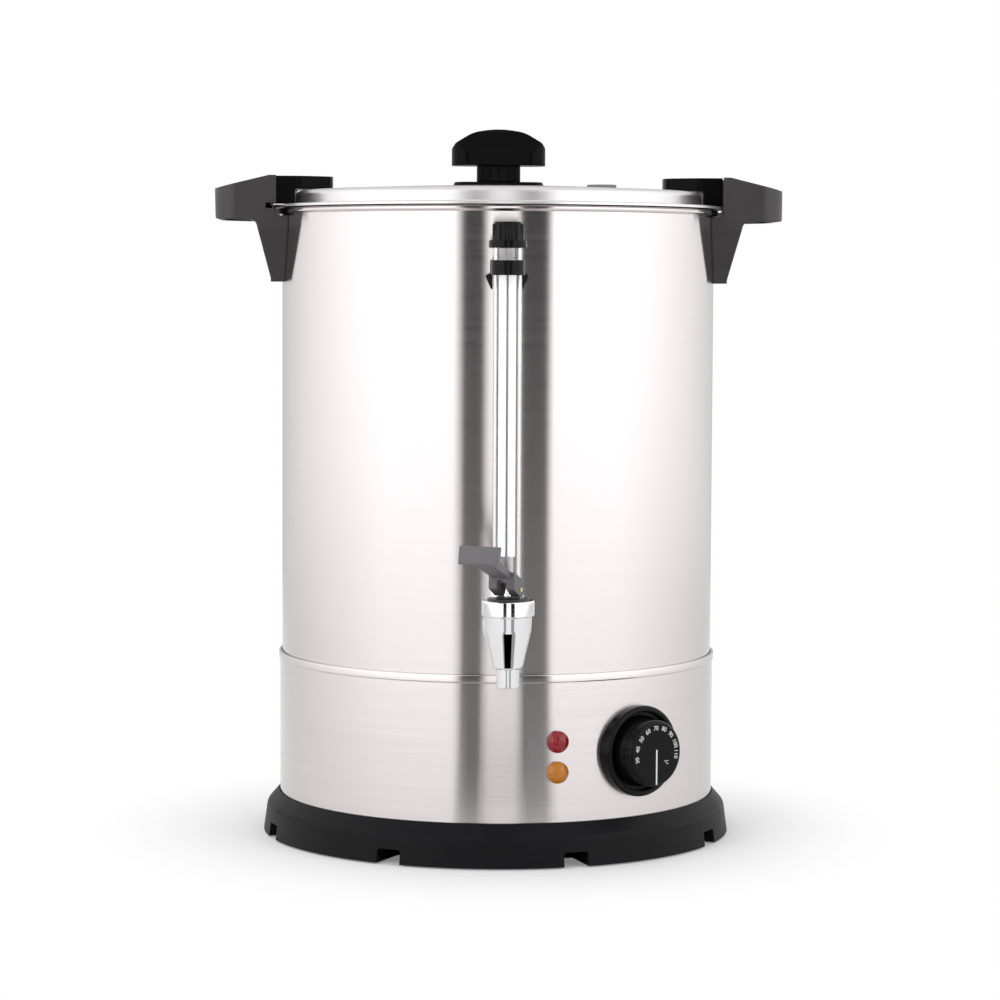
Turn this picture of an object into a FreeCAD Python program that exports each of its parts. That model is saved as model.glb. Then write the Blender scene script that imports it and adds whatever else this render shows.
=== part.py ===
import FreeCAD, Part
import math
import os
import re
import Sketcher

# Hot water urn. Millimetres and degrees, +Z up, the front with the tap faces -Y.
# The origin is on the floor, on the axis of the round tank.

doc = FreeCAD.newDocument("hot_water_urn")
sizes = doc.addObject("Spreadsheet::Sheet", "Sizes")

DRIVING_SIZES = [
    ("shell_radius", 150.0, "outer radius of the tank wall"),
    ("sheet_wall", 1.0, "thickness of the tank and housing sheet"),
    ("tank_floor_height", 118.0, "top of the tank floor"),
    ("floor_wall", 1.2, "thickness of the tank floor"),
    ("floor_rim", 9.0, "height of the turned rim of the tank floor"),
    ("shell_lap", 8.0, "length of tank wall below its floor"),
    ("rim_height", 433.9, "top of the tank's rolled rim"),
    ("rim_bead", 3.0, "how far the rolled rim stands out of the wall"),
    ("rim_bead_height", 3.9, "height of the rolled rim"),
    ("run_gap", 0.3, "clearance between pieces that move apart"),
    ("seat_gap", 0.1, "clearance between pieces that are fitted together"),
    ("skirt_growth", 1.5, "how far the housing ring stands out of the tank wall"),
    ("hem_height", 5.5, "height of the folded hem of the housing ring"),
    ("hem_fold", 0.8, "extra thickness of the folded hem"),
    ("skirt_top", 127.0, "top of the housing ring"),
    ("base_outside_wall", 13.0, "radius of the base ring at the floor: how far outside the tank wall"),
    ("base_shoulder_outside_wall", 10.4, "radius of the base ring under its shoulder: how far outside the tank wall"),
    ("base_shoulder_height", 20.0, "height of the shoulder's edge"),
    ("base_height", 29.0, "top of the base ring"),
    ("base_clear", 1.0, "height of the base ring's edge over the floor"),
    ("lip_edge", 0.8, "width of the base ring's lip against the housing ring"),
    ("base_wall", 3.0, "wall of the base ring"),
    ("ledge_height", 16.5, "top of the ledge that the housing ring stands on"),
    ("ledge_wall", 2.5, "thickness of the ledge"),
    ("ledge_inside_wall", 38.0, "inner radius of the ledge: how far inside the tank wall"),
    ("notch_width", 17.0, "width of a notch in the base ring"),
    ("notch_height", 9.5, "height of a notch"),
    ("notch_depth", 33.0, "depth of a notch"),
    ("notch_wall", 2.0, "wall round a notch"),
    ("notch_count", 8, "notches round the base ring"),
    ("notch_turn", 17.0, "angle from the front to the first notch"),
    ("pan_flange_inside_wall", 24.0, "outer radius of the bottom pan: how far inside the tank wall"),
    ("pan_wall", 1.5, "thickness of the bottom pan"),
    ("pan_inside_wall", 39.5, "radius of the pan's dished middle: how far inside the tank wall"),
    ("pan_height", 4.0, "underside of the pan's dished middle"),
    ("foot_inside_wall", 46.0, "outer radius of the rubber foot ring: how far inside the tank wall"),
    ("foot_width", 9.0, "width of the rubber foot ring"),
    ("screw_pitch_inside_wall", 31.0, "radius of the circle of pan screws: how far inside the tank wall"),
    ("small_screw_radius", 1.9, "radius of a small screw"),
    ("small_head_radius", 3.8, "radius of a small screw's head"),
    ("small_head_height", 2.4, "height of a small screw's head"),
    ("stud_pitch_inside_wall", 10.0, "radius of the circle of tie studs: how far inside the tank wall"),
    ("stud_angle", 35.0, "angle from a notch to the next tie stud"),
    ("stud_radius", 2.5, "radius of a tie stud"),
    ("stud_tip", 6.0, "length of stud below the ledge"),
    ("nut_radius", 5.0, "radius of a nut across its corners"),
    ("nut_height", 4.0, "height of a nut"),
    ("lid_flange_outside_wall", 6.2, "outer radius of the lid: how far outside the tank wall"),
    ("lid_wall", 0.9, "thickness of the lid sheet"),
    ("lid_edge", 1.8, "height of the lid's turned edge"),
    ("lid_dome_inside_wall", 9.0, "radius of the lid's raised middle: how far inside the tank wall"),
    ("lid_rise", 12.3, "rise of the lid's middle over its flange"),
    ("lid_crown", 2.5, "fall of the lid from its flat middle to its shoulder"),
    ("lid_flat_radius", 84.0, "radius of the lid's flat middle"),
    ("lid_corner", 4.0, "rounding of the lid's shoulder"),
    ("lid_root", 1.5, "rounding between the flange and the raised middle"),
    ("ear_reach", 6.8, "how far a locking ear stands out of the flange"),
    ("ear_half_width", 5.0, "half the width of a locking ear"),
    ("ear_turn", 17.2, "angle from the handle's middle to the ear"),
    ("gasket_width", 4.6, "width of the lid gasket"),
    ("gasket_height", 5.0, "height of the lid gasket"),
    ("lug_tip_inside_wall", 35.0, "distance of a lug's tip from the axis: how far inside the tank wall"),
    ("lug_half_width", 24.0, "half the width of a lug"),
    ("lug_nose", 12.0, "rounding of a lug's tip"),
    ("lug_top_over_rim", 22.0, "top of the lugs and of the handles' inner edge: how far over the tank's rim"),
    ("lug_plate", 8.6, "thickness of a lug's plate"),
    ("lug_dent_outside_wall", 1.0, "where the shallow dent in a lug's top lies: how far outside the tank wall"),
    ("lug_dent_depth", 1.2, "depth of the shallow dent"),
    ("knob_width", 65.0, "width of the knob's bar"),
    ("knob_depth", 28.0, "depth of the knob's bar"),
    ("knob_bottom_over_rim", 30.4, "underside of the knob's bar: how far over the tank's rim"),
    ("knob_side_top_over_rim", 44.1, "top of the bar's upright ends: how far over the tank's rim"),
    ("knob_top_over_rim", 55.7, "top of the knob: how far over the tank's rim"),
    ("knob_crown", 36.0, "width of the knob's crown"),
    ("knob_ridge", 6.0, "half the depth of the knob's crown"),
    ("knob_band_rise", 9.0, "height of the bar's upright band"),
    ("knob_stem_width", 30.0, "width of the knob's stem"),
    ("knob_stem_depth", 18.0, "depth of the knob's stem"),
    ("knob_flute", 3.2, "depth of the hollow down the stem"),
    ("knob_plate_height", 4.6, "thickness of the plate under the knob"),
    ("knob_plate_depth", 30.0, "depth of the plate under the knob"),
    ("knob_plate_slope", 24.0, "slope of the plate's edge"),
    ("vent_offset", 72.0, "distance of the vent cap from the axis"),
    ("vent_radius", 10.3, "radius of the vent cap"),
    ("vent_height", 3.3, "height of the vent cap over the lid"),
    ("vent_neck_radius", 5.6, "radius of the vent cap's neck"),
    ("handle_outside_wall", 45.5, "distance of the handle's outer edge from the axis: how far outside the tank wall"),
    ("handle_half_width", 39.0, "half the width of a handle"),
    ("leg_foot_half_width", 27.0, "half the width of the handle's leg at its foot"),
    ("leg_flank_drop", 3.0, "how far under the grip the leg starts to narrow"),
    ("handle_corner", 16.0, "rounding of the handle's outer corners"),
    ("handle_bottom_under_rim", 50.6, "lowest point of the handle's leg: how far under the tank's rim"),
    ("handle_top_outer_over_rim", 12.6, "height of the handle's outer top edge: how far over the tank's rim"),
    ("grip_bottom_under_rim", 7.7, "underside of the grip at its outer edge: how far under the tank's rim"),
    ("grip_root_under_rim", 8.3, "underside of the grip at the leg: how far under the tank's rim"),
    ("grip_lean", 0.6, "how far the grip's outer face leans in"),
    ("leg_root_outside_wall", 17.3, "distance of the leg's top corner from the axis: how far outside the tank wall"),
    ("leg_foot_outside_wall", 7.2, "distance of the leg's foot from the axis: how far outside the tank wall"),
    ("leg_foot_height", 2.5, "height of the square end of the leg"),
    ("grip_wall", 4.0, "wall round the finger hollow"),
    ("finger_roof_over_rim", 9.1, "roof of the finger hollow: how far over the tank's rim"),
    ("handle_lid_gap", 1.8, "clearance between the handles and the lid's edge"),
    ("slot_height", 3.6, "height of the slot for a locking ear"),
    ("slot_stop", 4.0, "angle of the slot's end past the handle's middle"),
    ("handle_screw_spread", 22.0, "distance of a handle screw from the middle"),
    ("handle_screw_under_rim", 28.9, "height of the handle screws: how far under the tank's rim"),
    ("handle_screw_radius", 2.1, "radius of a handle screw"),
    ("handle_screw_outside_wall", 8.8, "distance of a handle screw's tip: how far outside the tank wall"),
    ("backing_wall", 1.8, "thickness of a handle's backing plate"),
    ("backing_half_angle", 12.0, "half the angle of a backing plate"),
    ("backing_half_height", 10.0, "half the height of a backing plate"),
    ("tap_reach", 45.0, "distance from the tank wall to the tap's axis"),
    ("shank_height", 160.0, "height of the tap's shank"),
    ("shank_radius", 8.5, "radius of the tap's shank"),
    ("shank_bore", 5.0, "bore of the tap's shank"),
    ("shank_inside", 15.0, "length of shank inside the tank"),
    ("tap_flange_radius", 15.0, "radius of the flange against the tank"),
    ("tap_flange_wall", 3.0, "thickness of that flange"),
    ("washer_wall", 2.4, "thickness of a tap washer"),
    ("collar_radius", 16.8, "radius of the tap's collar"),
    ("collar_top", 181.0, "top of the tap's collar"),
    ("collar_height", 10.5, "height of the tap's collar"),
    ("cone_radius", 14.8, "radius of the tap's body under the collar"),
    ("cone_foot_radius", 9.4, "radius of the tap's body over the spout"),
    ("spout_radius", 7.3, "outer radius of the spout"),
    ("spout_bore", 5.0, "bore of the spout"),
    ("spout_tip", 124.6, "lower end of the spout"),
    ("spout_top", 137.0, "upper end of the spout"),
    ("chamber_radius", 10.5, "radius of the valve chamber"),
    ("valve_seat_height", 150.0, "height of the valve seat"),
    ("bonnet_plug", 8.0, "depth of the bonnet in the chamber"),
    ("bonnet_rim", 1.2, "thickness of the bonnet's rim"),
    ("bonnet_radius", 13.5, "radius of the bonnet's rim"),
    ("stem_radius", 3.0, "radius of the valve stem"),
    ("shaft_gap", 0.05, "running clearance of a shaft in its hole"),
    ("seat_cup_radius", 8.4, "radius of the seat cup"),
    ("seat_cup_height", 6.0, "height of the seat cup"),
    ("thrust_radius", 7.5, "radius of the thrust washer"),
    ("thrust_wall", 0.8, "thickness of the thrust washer"),
    ("spring_radius", 6.5, "mean radius of the valve spring"),
    ("spring_wire", 1.2, "wire of the valve spring"),
    ("spring_turns", 4.5, "turns of the valve spring"),
    ("pin_radius", 1.5, "radius of the lever's pin"),
    ("cheek_drop", 4.4, "distance from the pin to the lever's heel"),
    ("cheek_half_width", 9.0, "half the width of the lever's head"),
    ("cheek_back", 5.0, "how far the lever's head reaches behind the pin"),
    ("heel_front", 1.0, "how far the lever's flat heel reaches before the pin"),
    ("heel_slope", 0.58, "slope of the lever's underside, which leaves room for its tilt"),
    ("cheek_front", 10.0, "how far the lever's head reaches before the pin"),
    ("cheek_top", 12.5, "height of the lever's head over the pin"),
    ("cheek_back_top", 4.6, "height of the head's back over the pin"),
    ("fork_roof", 7.0, "height of the slot in the lever's head over the pin"),
    ("arm_foot", 7.4, "height of the arm's underside over the pin, at the head"),
    ("lever_swing", -28.0, "angle of the lever from the front, towards -X"),
    ("lever_length", 42.6, "distance from the pin to the paddle"),
    ("arm_half_width", 6.5, "half the width of the lever's arm"),
    ("arm_wall", 6.0, "thickness of the lever's arm"),
    ("paddle_half_width", 13.4, "half the width of the paddle"),
    ("paddle_bottom", 206.8, "lower edge of the paddle"),
    ("paddle_top", 218.4, "upper edge of the paddle"),
    ("paddle_wall", 5.2, "thickness of the paddle"),
    ("paddle_lean", 2.0, "how far the paddle leans back at its top"),
    ("gauge_reach", 15.0, "distance from the tank wall to the gauge's axis"),
    ("gauge_radius", 9.2, "outer radius of the gauge tube"),
    ("gauge_wall", 1.4, "wall of the gauge tube"),
    ("socket_wall", 2.3, "wall of the gauge socket on the tap"),
    ("socket_top", 189.0, "top of the gauge socket"),
    ("socket_seat", 176.0, "where the gauge tube stands in its socket"),
    ("gauge_cap_foot_under_rim", 28.4, "lower edge of the gauge cap: how far under the tank's rim"),
    ("gauge_cap_rim", 5.1, "height of the cap's rim"),
    ("gauge_cap_rim_radius", 12.4, "radius of the cap's rim"),
    ("gauge_cap_top_under_rim", 11.6, "top of the gauge cap: how far under the tank's rim"),
    ("gauge_cap_radius", 8.9, "radius of the cap at its top"),
    ("cap_plug", 1.2, "how far the cap's solid top reaches into its rim"),
    ("cap_rib_count", 10, "ribs round the gauge cap"),
    ("cap_rib_radius", 1.5, "radius of a rib of the gauge cap"),
    ("cap_taper", 1.0, "how much wider the cap is at its foot than at its top"),
    ("bracket_foot_under_rim", 45.9, "lower edge of the gauge bracket's ring: how far under the tank's rim"),
    ("bracket_height", 9.7, "height of the gauge bracket's ring"),
    ("bracket_wall", 1.6, "wall of the gauge bracket's ring"),
    ("bracket_fin_drop", 9.0, "how far the bracket's side fins reach down"),
    ("bracket_half_width", 14.0, "half the width of the bracket over its fins"),
    ("lamp_turn", 13.3, "angle from the front to the lamps"),
    ("lamp_red_height", 82.6, "height of the red lamp"),
    ("lamp_amber_height", 62.3, "height of the amber lamp"),
    ("lens_radius", 7.3, "radius of a lamp lens"),
    ("lens_rim", 2.0, "height of a lens's rim"),
    ("lens_dome", 3.6, "height of a lens's dome"),
    ("lamp_body_radius", 4.8, "radius of a lamp's body"),
    ("lamp_body_length", 24.0, "length of a lamp's body"),
    ("dial_turn", 36.3, "angle from the front to the dial"),
    ("dial_height", 73.0, "height of the dial's axis"),
    ("bezel_skirt", 10.0, "how far the bezel's rim could reach back before it is cut to the ring"),
    ("bezel_radius", 30.4, "radius of the dial bezel"),
    ("bezel_face_outside_wall", 8.0, "distance of the bezel's rim from the axis: how far outside the tank wall"),
    ("bezel_well_radius", 26.5, "radius of the well in the bezel"),
    ("bezel_well_floor_outside_wall", 4.0, "distance of the well's floor from the axis: how far outside the tank wall"),
    ("bezel_hole", 6.0, "radius of the hole in the bezel"),
    ("dial_radius", 21.8, "radius of the dial knob's face"),
    ("dial_foot_radius", 24.0, "radius of the dial knob's foot"),
    ("dial_face_outside_wall", 21.0, "distance of the dial knob's face from the axis: how far outside the tank wall"),
    ("dial_edge", 2.5, "rounding of the dial knob's edge"),
    ("dial_wall", 2.4, "wall of the dial knob"),
    ("dial_boss_radius", 6.0, "radius of the boss in the dial knob"),
    ("shaft_radius", 3.0, "radius of the thermostat shaft"),
    ("shaft_front_outside_wall", 16.0, "distance of the shaft's outer end from the axis: how far outside the tank wall"),
    ("shaft_back_inside_wall", 17.0, "distance of the shaft's inner end from the axis: how far inside the tank wall"),
    ("thermostat_front_inside_wall", 4.0, "distance of the thermostat's face from the axis: how far inside the tank wall"),
    ("thermostat_depth", 24.0, "depth of the thermostat"),
    ("thermostat_half_width", 17.0, "half the width of the thermostat"),
    ("thermostat_half_height", 15.0, "half the height of the thermostat"),
    ("bulb_radius", 3.0, "radius of the thermostat's bulb"),
    ("bulb_offset", 60.0, "distance of the bulb from the axis"),
    ("capillary_lead", 12.0, "how far the capillary runs on from the bulb"),
    ("bulb_length", 60.0, "length of the thermostat's bulb"),
    ("capillary_radius", 1.0, "radius of the capillary"),
    ("capillary_drop", 8.0, "how far the capillary passes below the element"),
    ("spreader_inside_wall", 40.0, "radius of the heat spreader: how far inside the tank wall"),
    ("spreader_wall", 3.0, "thickness of the heat spreader"),
    ("element_inside_wall", 65.0, "radius of the heating element's loop: how far inside the tank wall"),
    ("element_tube", 4.0, "radius of the heating element's tube"),
    ("element_leg_radius", 3.2, "radius of the element's legs"),
    ("element_leg", 26.0, "length of the element's legs"),
    ("element_leg_spread", 18.0, "distance of a leg from the middle"),
    ("clamp_turn", 120.0, "angle between the element's clamps"),
    ("clamp_width", 14.0, "width of an element clamp"),
    ("clamp_wall", 1.5, "thickness of an element clamp"),
    ("cutout_radius", 12.0, "radius of the boil-dry cut-out"),
    ("cutout_foot", 40.0, "underside of the boil-dry cut-out"),
    ("cutout_bracket", 7.0, "radius of the cut-out's post to the spreader"),
    ("reset_radius", 3.0, "radius of the reset button"),
    ("reset_tip", 3.0, "lower end of the reset button"),
    ("reset_travel", 2.0, "travel of the reset button"),
    ("terminal_length", 46.0, "length of the terminal block"),
    ("terminal_depth", 18.0, "depth of the terminal block"),
    ("terminal_height", 14.0, "height of the terminal block"),
    ("terminal_front_inside_wall", 28.0, "distance of the terminal block from the axis: how far inside the tank wall"),
    ("gland_height", 45.0, "height of the cable gland"),
    ("gland_bore", 3.8, "bore of the cable gland"),
    ("gland_radius", 8.0, "radius of the gland's neck"),
    ("gland_flange_radius", 11.0, "radius of the gland's flange"),
    ("gland_length", 14.0, "how far the gland stands out"),
    ("gland_inside", 16.0, "length of the gland's neck inside"),
]

# Sizes that follow from the driving ones
FOLLOWING_SIZES = [
    ("base_radius", "shell_radius + base_outside_wall", "radius of the base ring at the floor"),
    ("base_shoulder_radius", "shell_radius + base_shoulder_outside_wall", "radius of the base ring under its shoulder"),
    ("ledge_radius", "shell_radius - ledge_inside_wall", "inner radius of the ledge"),
    ("pan_flange_radius", "shell_radius - pan_flange_inside_wall", "outer radius of the bottom pan"),
    ("pan_radius", "shell_radius - pan_inside_wall", "radius of the pan's dished middle"),
    ("foot_radius", "shell_radius - foot_inside_wall", "outer radius of the rubber foot ring"),
    ("screw_pitch_radius", "shell_radius - screw_pitch_inside_wall", "radius of the circle of pan screws"),
    ("stud_pitch_radius", "shell_radius - stud_pitch_inside_wall", "radius of the circle of tie studs"),
    ("lid_flange_radius", "shell_radius + lid_flange_outside_wall", "outer radius of the lid"),
    ("lid_dome_radius", "shell_radius - lid_dome_inside_wall", "radius of the lid's raised middle"),
    ("lug_tip_radius", "shell_radius - lug_tip_inside_wall", "distance of a lug's tip from the axis"),
    ("lug_dent_radius", "shell_radius + lug_dent_outside_wall", "where the shallow dent in a lug's top lies"),
    ("handle_reach", "shell_radius + handle_outside_wall", "distance of the handle's outer edge from the axis"),
    ("leg_root_reach", "shell_radius + leg_root_outside_wall", "distance of the leg's top corner from the axis"),
    ("leg_foot_reach", "shell_radius + leg_foot_outside_wall", "distance of the leg's foot from the axis"),
    ("handle_screw_reach", "shell_radius + handle_screw_outside_wall", "distance of a handle screw's tip"),
    ("bezel_back", "shell_radius - bezel_skirt", "innermost reach of the bezel's rim"),
    ("bezel_face", "shell_radius + bezel_face_outside_wall", "distance of the bezel's rim from the axis"),
    ("bezel_well_floor", "shell_radius + bezel_well_floor_outside_wall", "distance of the well's floor from the axis"),
    ("dial_face", "shell_radius + dial_face_outside_wall", "distance of the dial knob's face from the axis"),
    ("shaft_front", "shell_radius + shaft_front_outside_wall", "distance of the shaft's outer end from the axis"),
    ("shaft_back", "shell_radius - shaft_back_inside_wall", "distance of the shaft's inner end from the axis"),
    ("thermostat_front", "shell_radius - thermostat_front_inside_wall", "distance of the thermostat's face from the axis"),
    ("spreader_radius", "shell_radius - spreader_inside_wall", "radius of the heat spreader"),
    ("element_radius", "shell_radius - element_inside_wall", "radius of the heating element's loop"),
    ("terminal_front", "shell_radius - terminal_front_inside_wall", "distance of the terminal block from the axis"),
    ("lug_top", "rim_height + lug_top_over_rim", "top of the lugs and of the handles' inner edge"),
    ("knob_bottom", "rim_height + knob_bottom_over_rim", "underside of the knob's bar"),
    ("knob_side_top", "rim_height + knob_side_top_over_rim", "top of the bar's upright ends"),
    ("knob_band_top", "knob_bottom + knob_band_rise", "top of the bar's upright band"),
    ("knob_top", "rim_height + knob_top_over_rim", "top of the knob"),
    ("handle_bottom", "rim_height - handle_bottom_under_rim", "lowest point of the handle's leg"),
    ("handle_top_outer", "rim_height + handle_top_outer_over_rim", "height of the handle's outer top edge"),
    ("grip_bottom", "rim_height - grip_bottom_under_rim", "underside of the grip at its outer edge"),
    ("grip_root", "rim_height - grip_root_under_rim", "underside of the grip at the leg"),
    ("finger_roof", "rim_height + finger_roof_over_rim", "roof of the finger hollow"),
    ("handle_screw_height", "rim_height - handle_screw_under_rim", "height of the handle screws"),
    ("gauge_cap_foot", "rim_height - gauge_cap_foot_under_rim", "lower edge of the gauge cap"),
    ("gauge_cap_top", "rim_height - gauge_cap_top_under_rim", "top of the gauge cap"),
    ("bracket_foot", "rim_height - bracket_foot_under_rim", "lower edge of the gauge bracket's ring"),
]

for row, (alias, number, meaning) in enumerate(DRIVING_SIZES, start=1):
    sizes.set(f"A{row}", meaning)
    sizes.set(f"B{row}", str(number))
    sizes.setAlias(f"B{row}", alias)
for row, (alias, formula, meaning) in enumerate(FOLLOWING_SIZES, start=len(DRIVING_SIZES) + 1):
    sizes.set(f"A{row}", meaning)
    sizes.set(f"B{row}", "=" + formula)
    sizes.setAlias(f"B{row}", alias)
doc.recompute()

ALIAS = re.compile(r"\b(" + "|".join(entry[0] for entry in DRIVING_SIZES + FOLLOWING_SIZES) + r")\b")

# Places that follow from the driving sizes
INNER = "(shell_radius - sheet_wall)"
SKIRT = "(shell_radius + skirt_growth)"
SKIRT_INNER = f"({SKIRT} - sheet_wall)"
FLANGE_FOOT = "(rim_height + run_gap)"
FLANGE_TOP = f"({FLANGE_FOOT} + lid_edge)"
LID_TOP = f"({FLANGE_TOP} + lid_rise)"
HANDLE_INNER = "(lid_flange_radius + handle_lid_gap)"
BEAD_FOOT = "(rim_height - rim_bead_height)"
BONNET_TOP = "(collar_top + bonnet_rim)"
THRUST_TOP = f"({BONNET_TOP} + run_gap + thrust_wall)"
PIN_HEIGHT = f"({THRUST_TOP} + run_gap + cheek_drop)"
PLUG_FOOT = "(collar_top - bonnet_plug)"
CUP_FOOT = "(valve_seat_height + run_gap)"
CUP_TOP = f"({CUP_FOOT} + seat_cup_height)"
SPREADER_TOP = "(tank_floor_height - floor_wall - seat_gap)"
SPREADER_FOOT = f"({SPREADER_TOP} - spreader_wall)"
ELEMENT_HEIGHT = f"({SPREADER_FOOT} - element_tube - seat_gap)"
GAUGE_BACK = "(tap_reach - gauge_reach)"


def link(text):
    """An expression on the sheet's names, as other objects write it."""
    return ALIAS.sub(r"Sizes.\1", text)


def measure(text):
    """The number that an expression on the sheet's names has now."""
    return float(sizes.evalExpression(str(text)))


def plane_of(body, role):
    """One of a body's own origin planes or axes."""
    return [feature for feature in body.Origin.OriginFeatures if feature.Role == role][0]


def new_body(label, height="0", turn="0", along="0"):
    """A body with its label, raised by height, moved along Y, turned about the urn's axis."""
    body = doc.addObject("PartDesign::Body", label)
    body.Label = label
    body.Placement = FreeCAD.Placement(
        FreeCAD.Vector(0, measure(along), measure(height)),
        FreeCAD.Rotation(FreeCAD.Vector(0, 0, 1), measure(turn)),
    )
    body.setExpression("Placement.Base.y", link(along))
    body.setExpression("Placement.Base.z", link(height))
    body.setExpression("Placement.Rotation.Angle", link(f"({turn}) * 1deg"))
    return body


def new_sketch(body, role, offset="0", turn="0"):
    """A sketch on an origin plane, moved along the plane's normal and turned about its upright."""
    sketch = body.newObject("Sketcher::SketchObject", body.Label + "_sketch")
    sketch.AttachmentSupport = [(plane_of(body, role), "")]
    sketch.MapMode = "FlatFace"
    sketch.AttachmentOffset = FreeCAD.Placement(
        FreeCAD.Vector(0, 0, measure(offset)),
        FreeCAD.Rotation(FreeCAD.Vector(0, 1, 0), measure(turn)),
    )
    if offset != "0":
        sketch.setExpression("AttachmentOffset.Base.z", link(offset))
    if turn != "0":
        sketch.setExpression("AttachmentOffset.Rotation.Angle", link(f"({turn}) * 1deg"))
    return sketch


def pin_point(sketch, index, end, across, up):
    """Holds a point of a sketch at two expressions on the sheet."""
    for kind, text in (("DistanceX", across), ("DistanceY", up)):
        at = sketch.addConstraint(Sketcher.Constraint(kind, -1, 1, index, end, measure(text)))
        sketch.setExpression(f"Constraints[{at}]", link(str(text)))


def outline(body, role, corners, offset="0", turn="0"):
    """A closed outline through corners (across, up) or (across, up, rounding)."""
    sketch = new_sketch(body, role, offset, turn)
    add_outline(sketch, corners)
    return sketch


def add_outline(sketch, corners):
    """Adds a closed outline to a sketch: lines, with an arc at each rounded corner."""
    count = len(corners)
    spots = [FreeCAD.Vector(measure(c[0]), measure(c[1]), 0) for c in corners]
    rounds = [measure(c[2]) if len(c) > 2 else 0.0 for c in corners]
    cuts = []
    for n in range(count):
        before = (spots[n - 1] - spots[n]).normalize()
        after = (spots[(n + 1) % count] - spots[n]).normalize()
        half = before.getAngle(after) / 2
        reach = rounds[n] / math.tan(half)
        cuts.append((spots[n] + before * reach, spots[n] + after * reach, before, after, half))
    lines = []
    for n in range(count):
        segment = Part.LineSegment(cuts[n][1], cuts[(n + 1) % count][0])
        lines.append(sketch.addGeometry(segment, False))
    for n in range(count):
        line_in = lines[n - 1]
        line_out = lines[n]
        if rounds[n] == 0.0:
            sketch.addConstraint(Sketcher.Constraint("Coincident", line_in, 2, line_out, 1))
            pin_point(sketch, line_out, 1, corners[n][0], corners[n][1])
            continue
        start, stop, before, after, half = cuts[n]
        middle = (before + after).normalize()
        centre = spots[n] + middle * (rounds[n] / math.sin(half))
        first = math.atan2(start.y - centre.y, start.x - centre.x)
        last = math.atan2(stop.y - centre.y, stop.x - centre.x)
        left_turn = before.cross(after).z < 0
        circle = Part.Circle(centre, FreeCAD.Vector(0, 0, 1), rounds[n])
        ends = (first, last) if left_turn else (last, first)
        arc = sketch.addGeometry(Part.ArcOfCircle(circle, *ends), False)
        arc_in, arc_out = (1, 2) if left_turn else (2, 1)
        sketch.addConstraint(Sketcher.Constraint("Tangent", line_in, 2, arc, arc_in))
        sketch.addConstraint(Sketcher.Constraint("Tangent", arc, arc_out, line_out, 1))
        at = sketch.addConstraint(Sketcher.Constraint("Radius", arc, rounds[n]))
        sketch.setExpression(f"Constraints[{at}]", link(str(corners[n][2])))
        corner = sketch.addGeometry(Part.Point(spots[n]), True)
        sketch.addConstraint(Sketcher.Constraint("PointOnObject", corner, 1, line_in))
        sketch.addConstraint(Sketcher.Constraint("PointOnObject", corner, 1, line_out))
        pin_point(sketch, corner, 1, corners[n][0], corners[n][1])


def circles(body, role, spots, offset="0", turn="0"):
    """A sketch of circles (across, up, radius)."""
    sketch = new_sketch(body, role, offset, turn)
    for across, up, radius in spots:
        centre = FreeCAD.Vector(measure(across), measure(up), 0)
        ring = Part.Circle(centre, FreeCAD.Vector(0, 0, 1), measure(radius))
        index = sketch.addGeometry(ring, False)
        at = sketch.addConstraint(Sketcher.Constraint("Radius", index, measure(radius)))
        sketch.setExpression(f"Constraints[{at}]", link(str(radius)))
        pin_point(sketch, index, 3, across, up)
    return sketch


def feature(body, kind, sketch, label):
    """A sketch-based feature of a body."""
    made = body.newObject("PartDesign::" + kind, body.Label + "_" + label)
    made.Profile = sketch
    sketch.Visibility = False
    body.Tip = made
    return made


def turned(body, sketch, axis="V_Axis", angle="360", middle=False):
    """Adds a sketch turned about one of its axes."""
    made = feature(body, "Revolution", sketch, "turned")
    made.ReferenceAxis = (sketch, [axis])
    made.Angle = measure(angle)
    made.setExpression("Angle", link(f"({angle}) * 1deg"))
    made.Midplane = middle
    return made


def turned_cut(body, sketch, axis="V_Axis", angle="360", backwards=False):
    """Takes away a sketch turned about one of its axes."""
    made = feature(body, "Groove", sketch, "turned_cut")
    made.ReferenceAxis = (sketch, [axis])
    made.Angle = measure(angle)
    made.setExpression("Angle", link(f"({angle}) * 1deg"))
    made.Reversed = backwards
    return made


def raised(body, sketch, length, both_ways=False, backwards=False, slope="0"):
    """Adds a sketch drawn out along its plane's normal."""
    made = feature(body, "Pad", sketch, "raised")
    made.Length = measure(length)
    made.setExpression("Length", link(f"({length}) * 1mm"))
    made.SideType = "Symmetric" if both_ways else "One side"
    made.Reversed = backwards
    if slope != "0":
        made.setExpression("TaperAngle", link(f"-({slope}) * 1deg"))
    return made


def sunk(body, sketch, length, both_ways=False, forwards=False):
    """Takes away a sketch drawn out against its plane's normal, or along it if forwards."""
    before = volume_now(body)
    made = feature(body, "Pocket", sketch, "sunk")
    made.Type = "Length"
    made.Length = measure(length)
    made.setExpression("Length", link(f"({length}) * 1mm"))
    made.SideType = "Symmetric" if both_ways else "One side"
    made.Reversed = forwards
    if volume_now(body) > before - 0.01:
        raise RuntimeError(f"a pocket in {body.Label} cuts nothing")
    return made


def volume_now(body):
    """The volume of a body after its last feature."""
    doc.recompute()
    return body.Shape.Volume


def around(body, features, count, angle="360"):
    """Repeats features about the body's upright axis."""
    made = body.newObject("PartDesign::PolarPattern", body.Label + "_around")
    made.Originals = features
    made.Axis = (plane_of(body, "Z_Axis"), [""])
    made.Angle = measure(angle)
    made.Occurrences = int(measure(count))
    made.setExpression("Occurrences", link(str(count)))
    body.Tip = made
    return made


def mirrored(body, features, role):
    """Repeats features on the other side of one of the body's origin planes."""
    made = body.newObject("PartDesign::Mirrored", body.Label + "_mirrored")
    made.Originals = features
    made.MirrorPlane = (plane_of(body, role), [""])
    body.Tip = made
    return made


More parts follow.
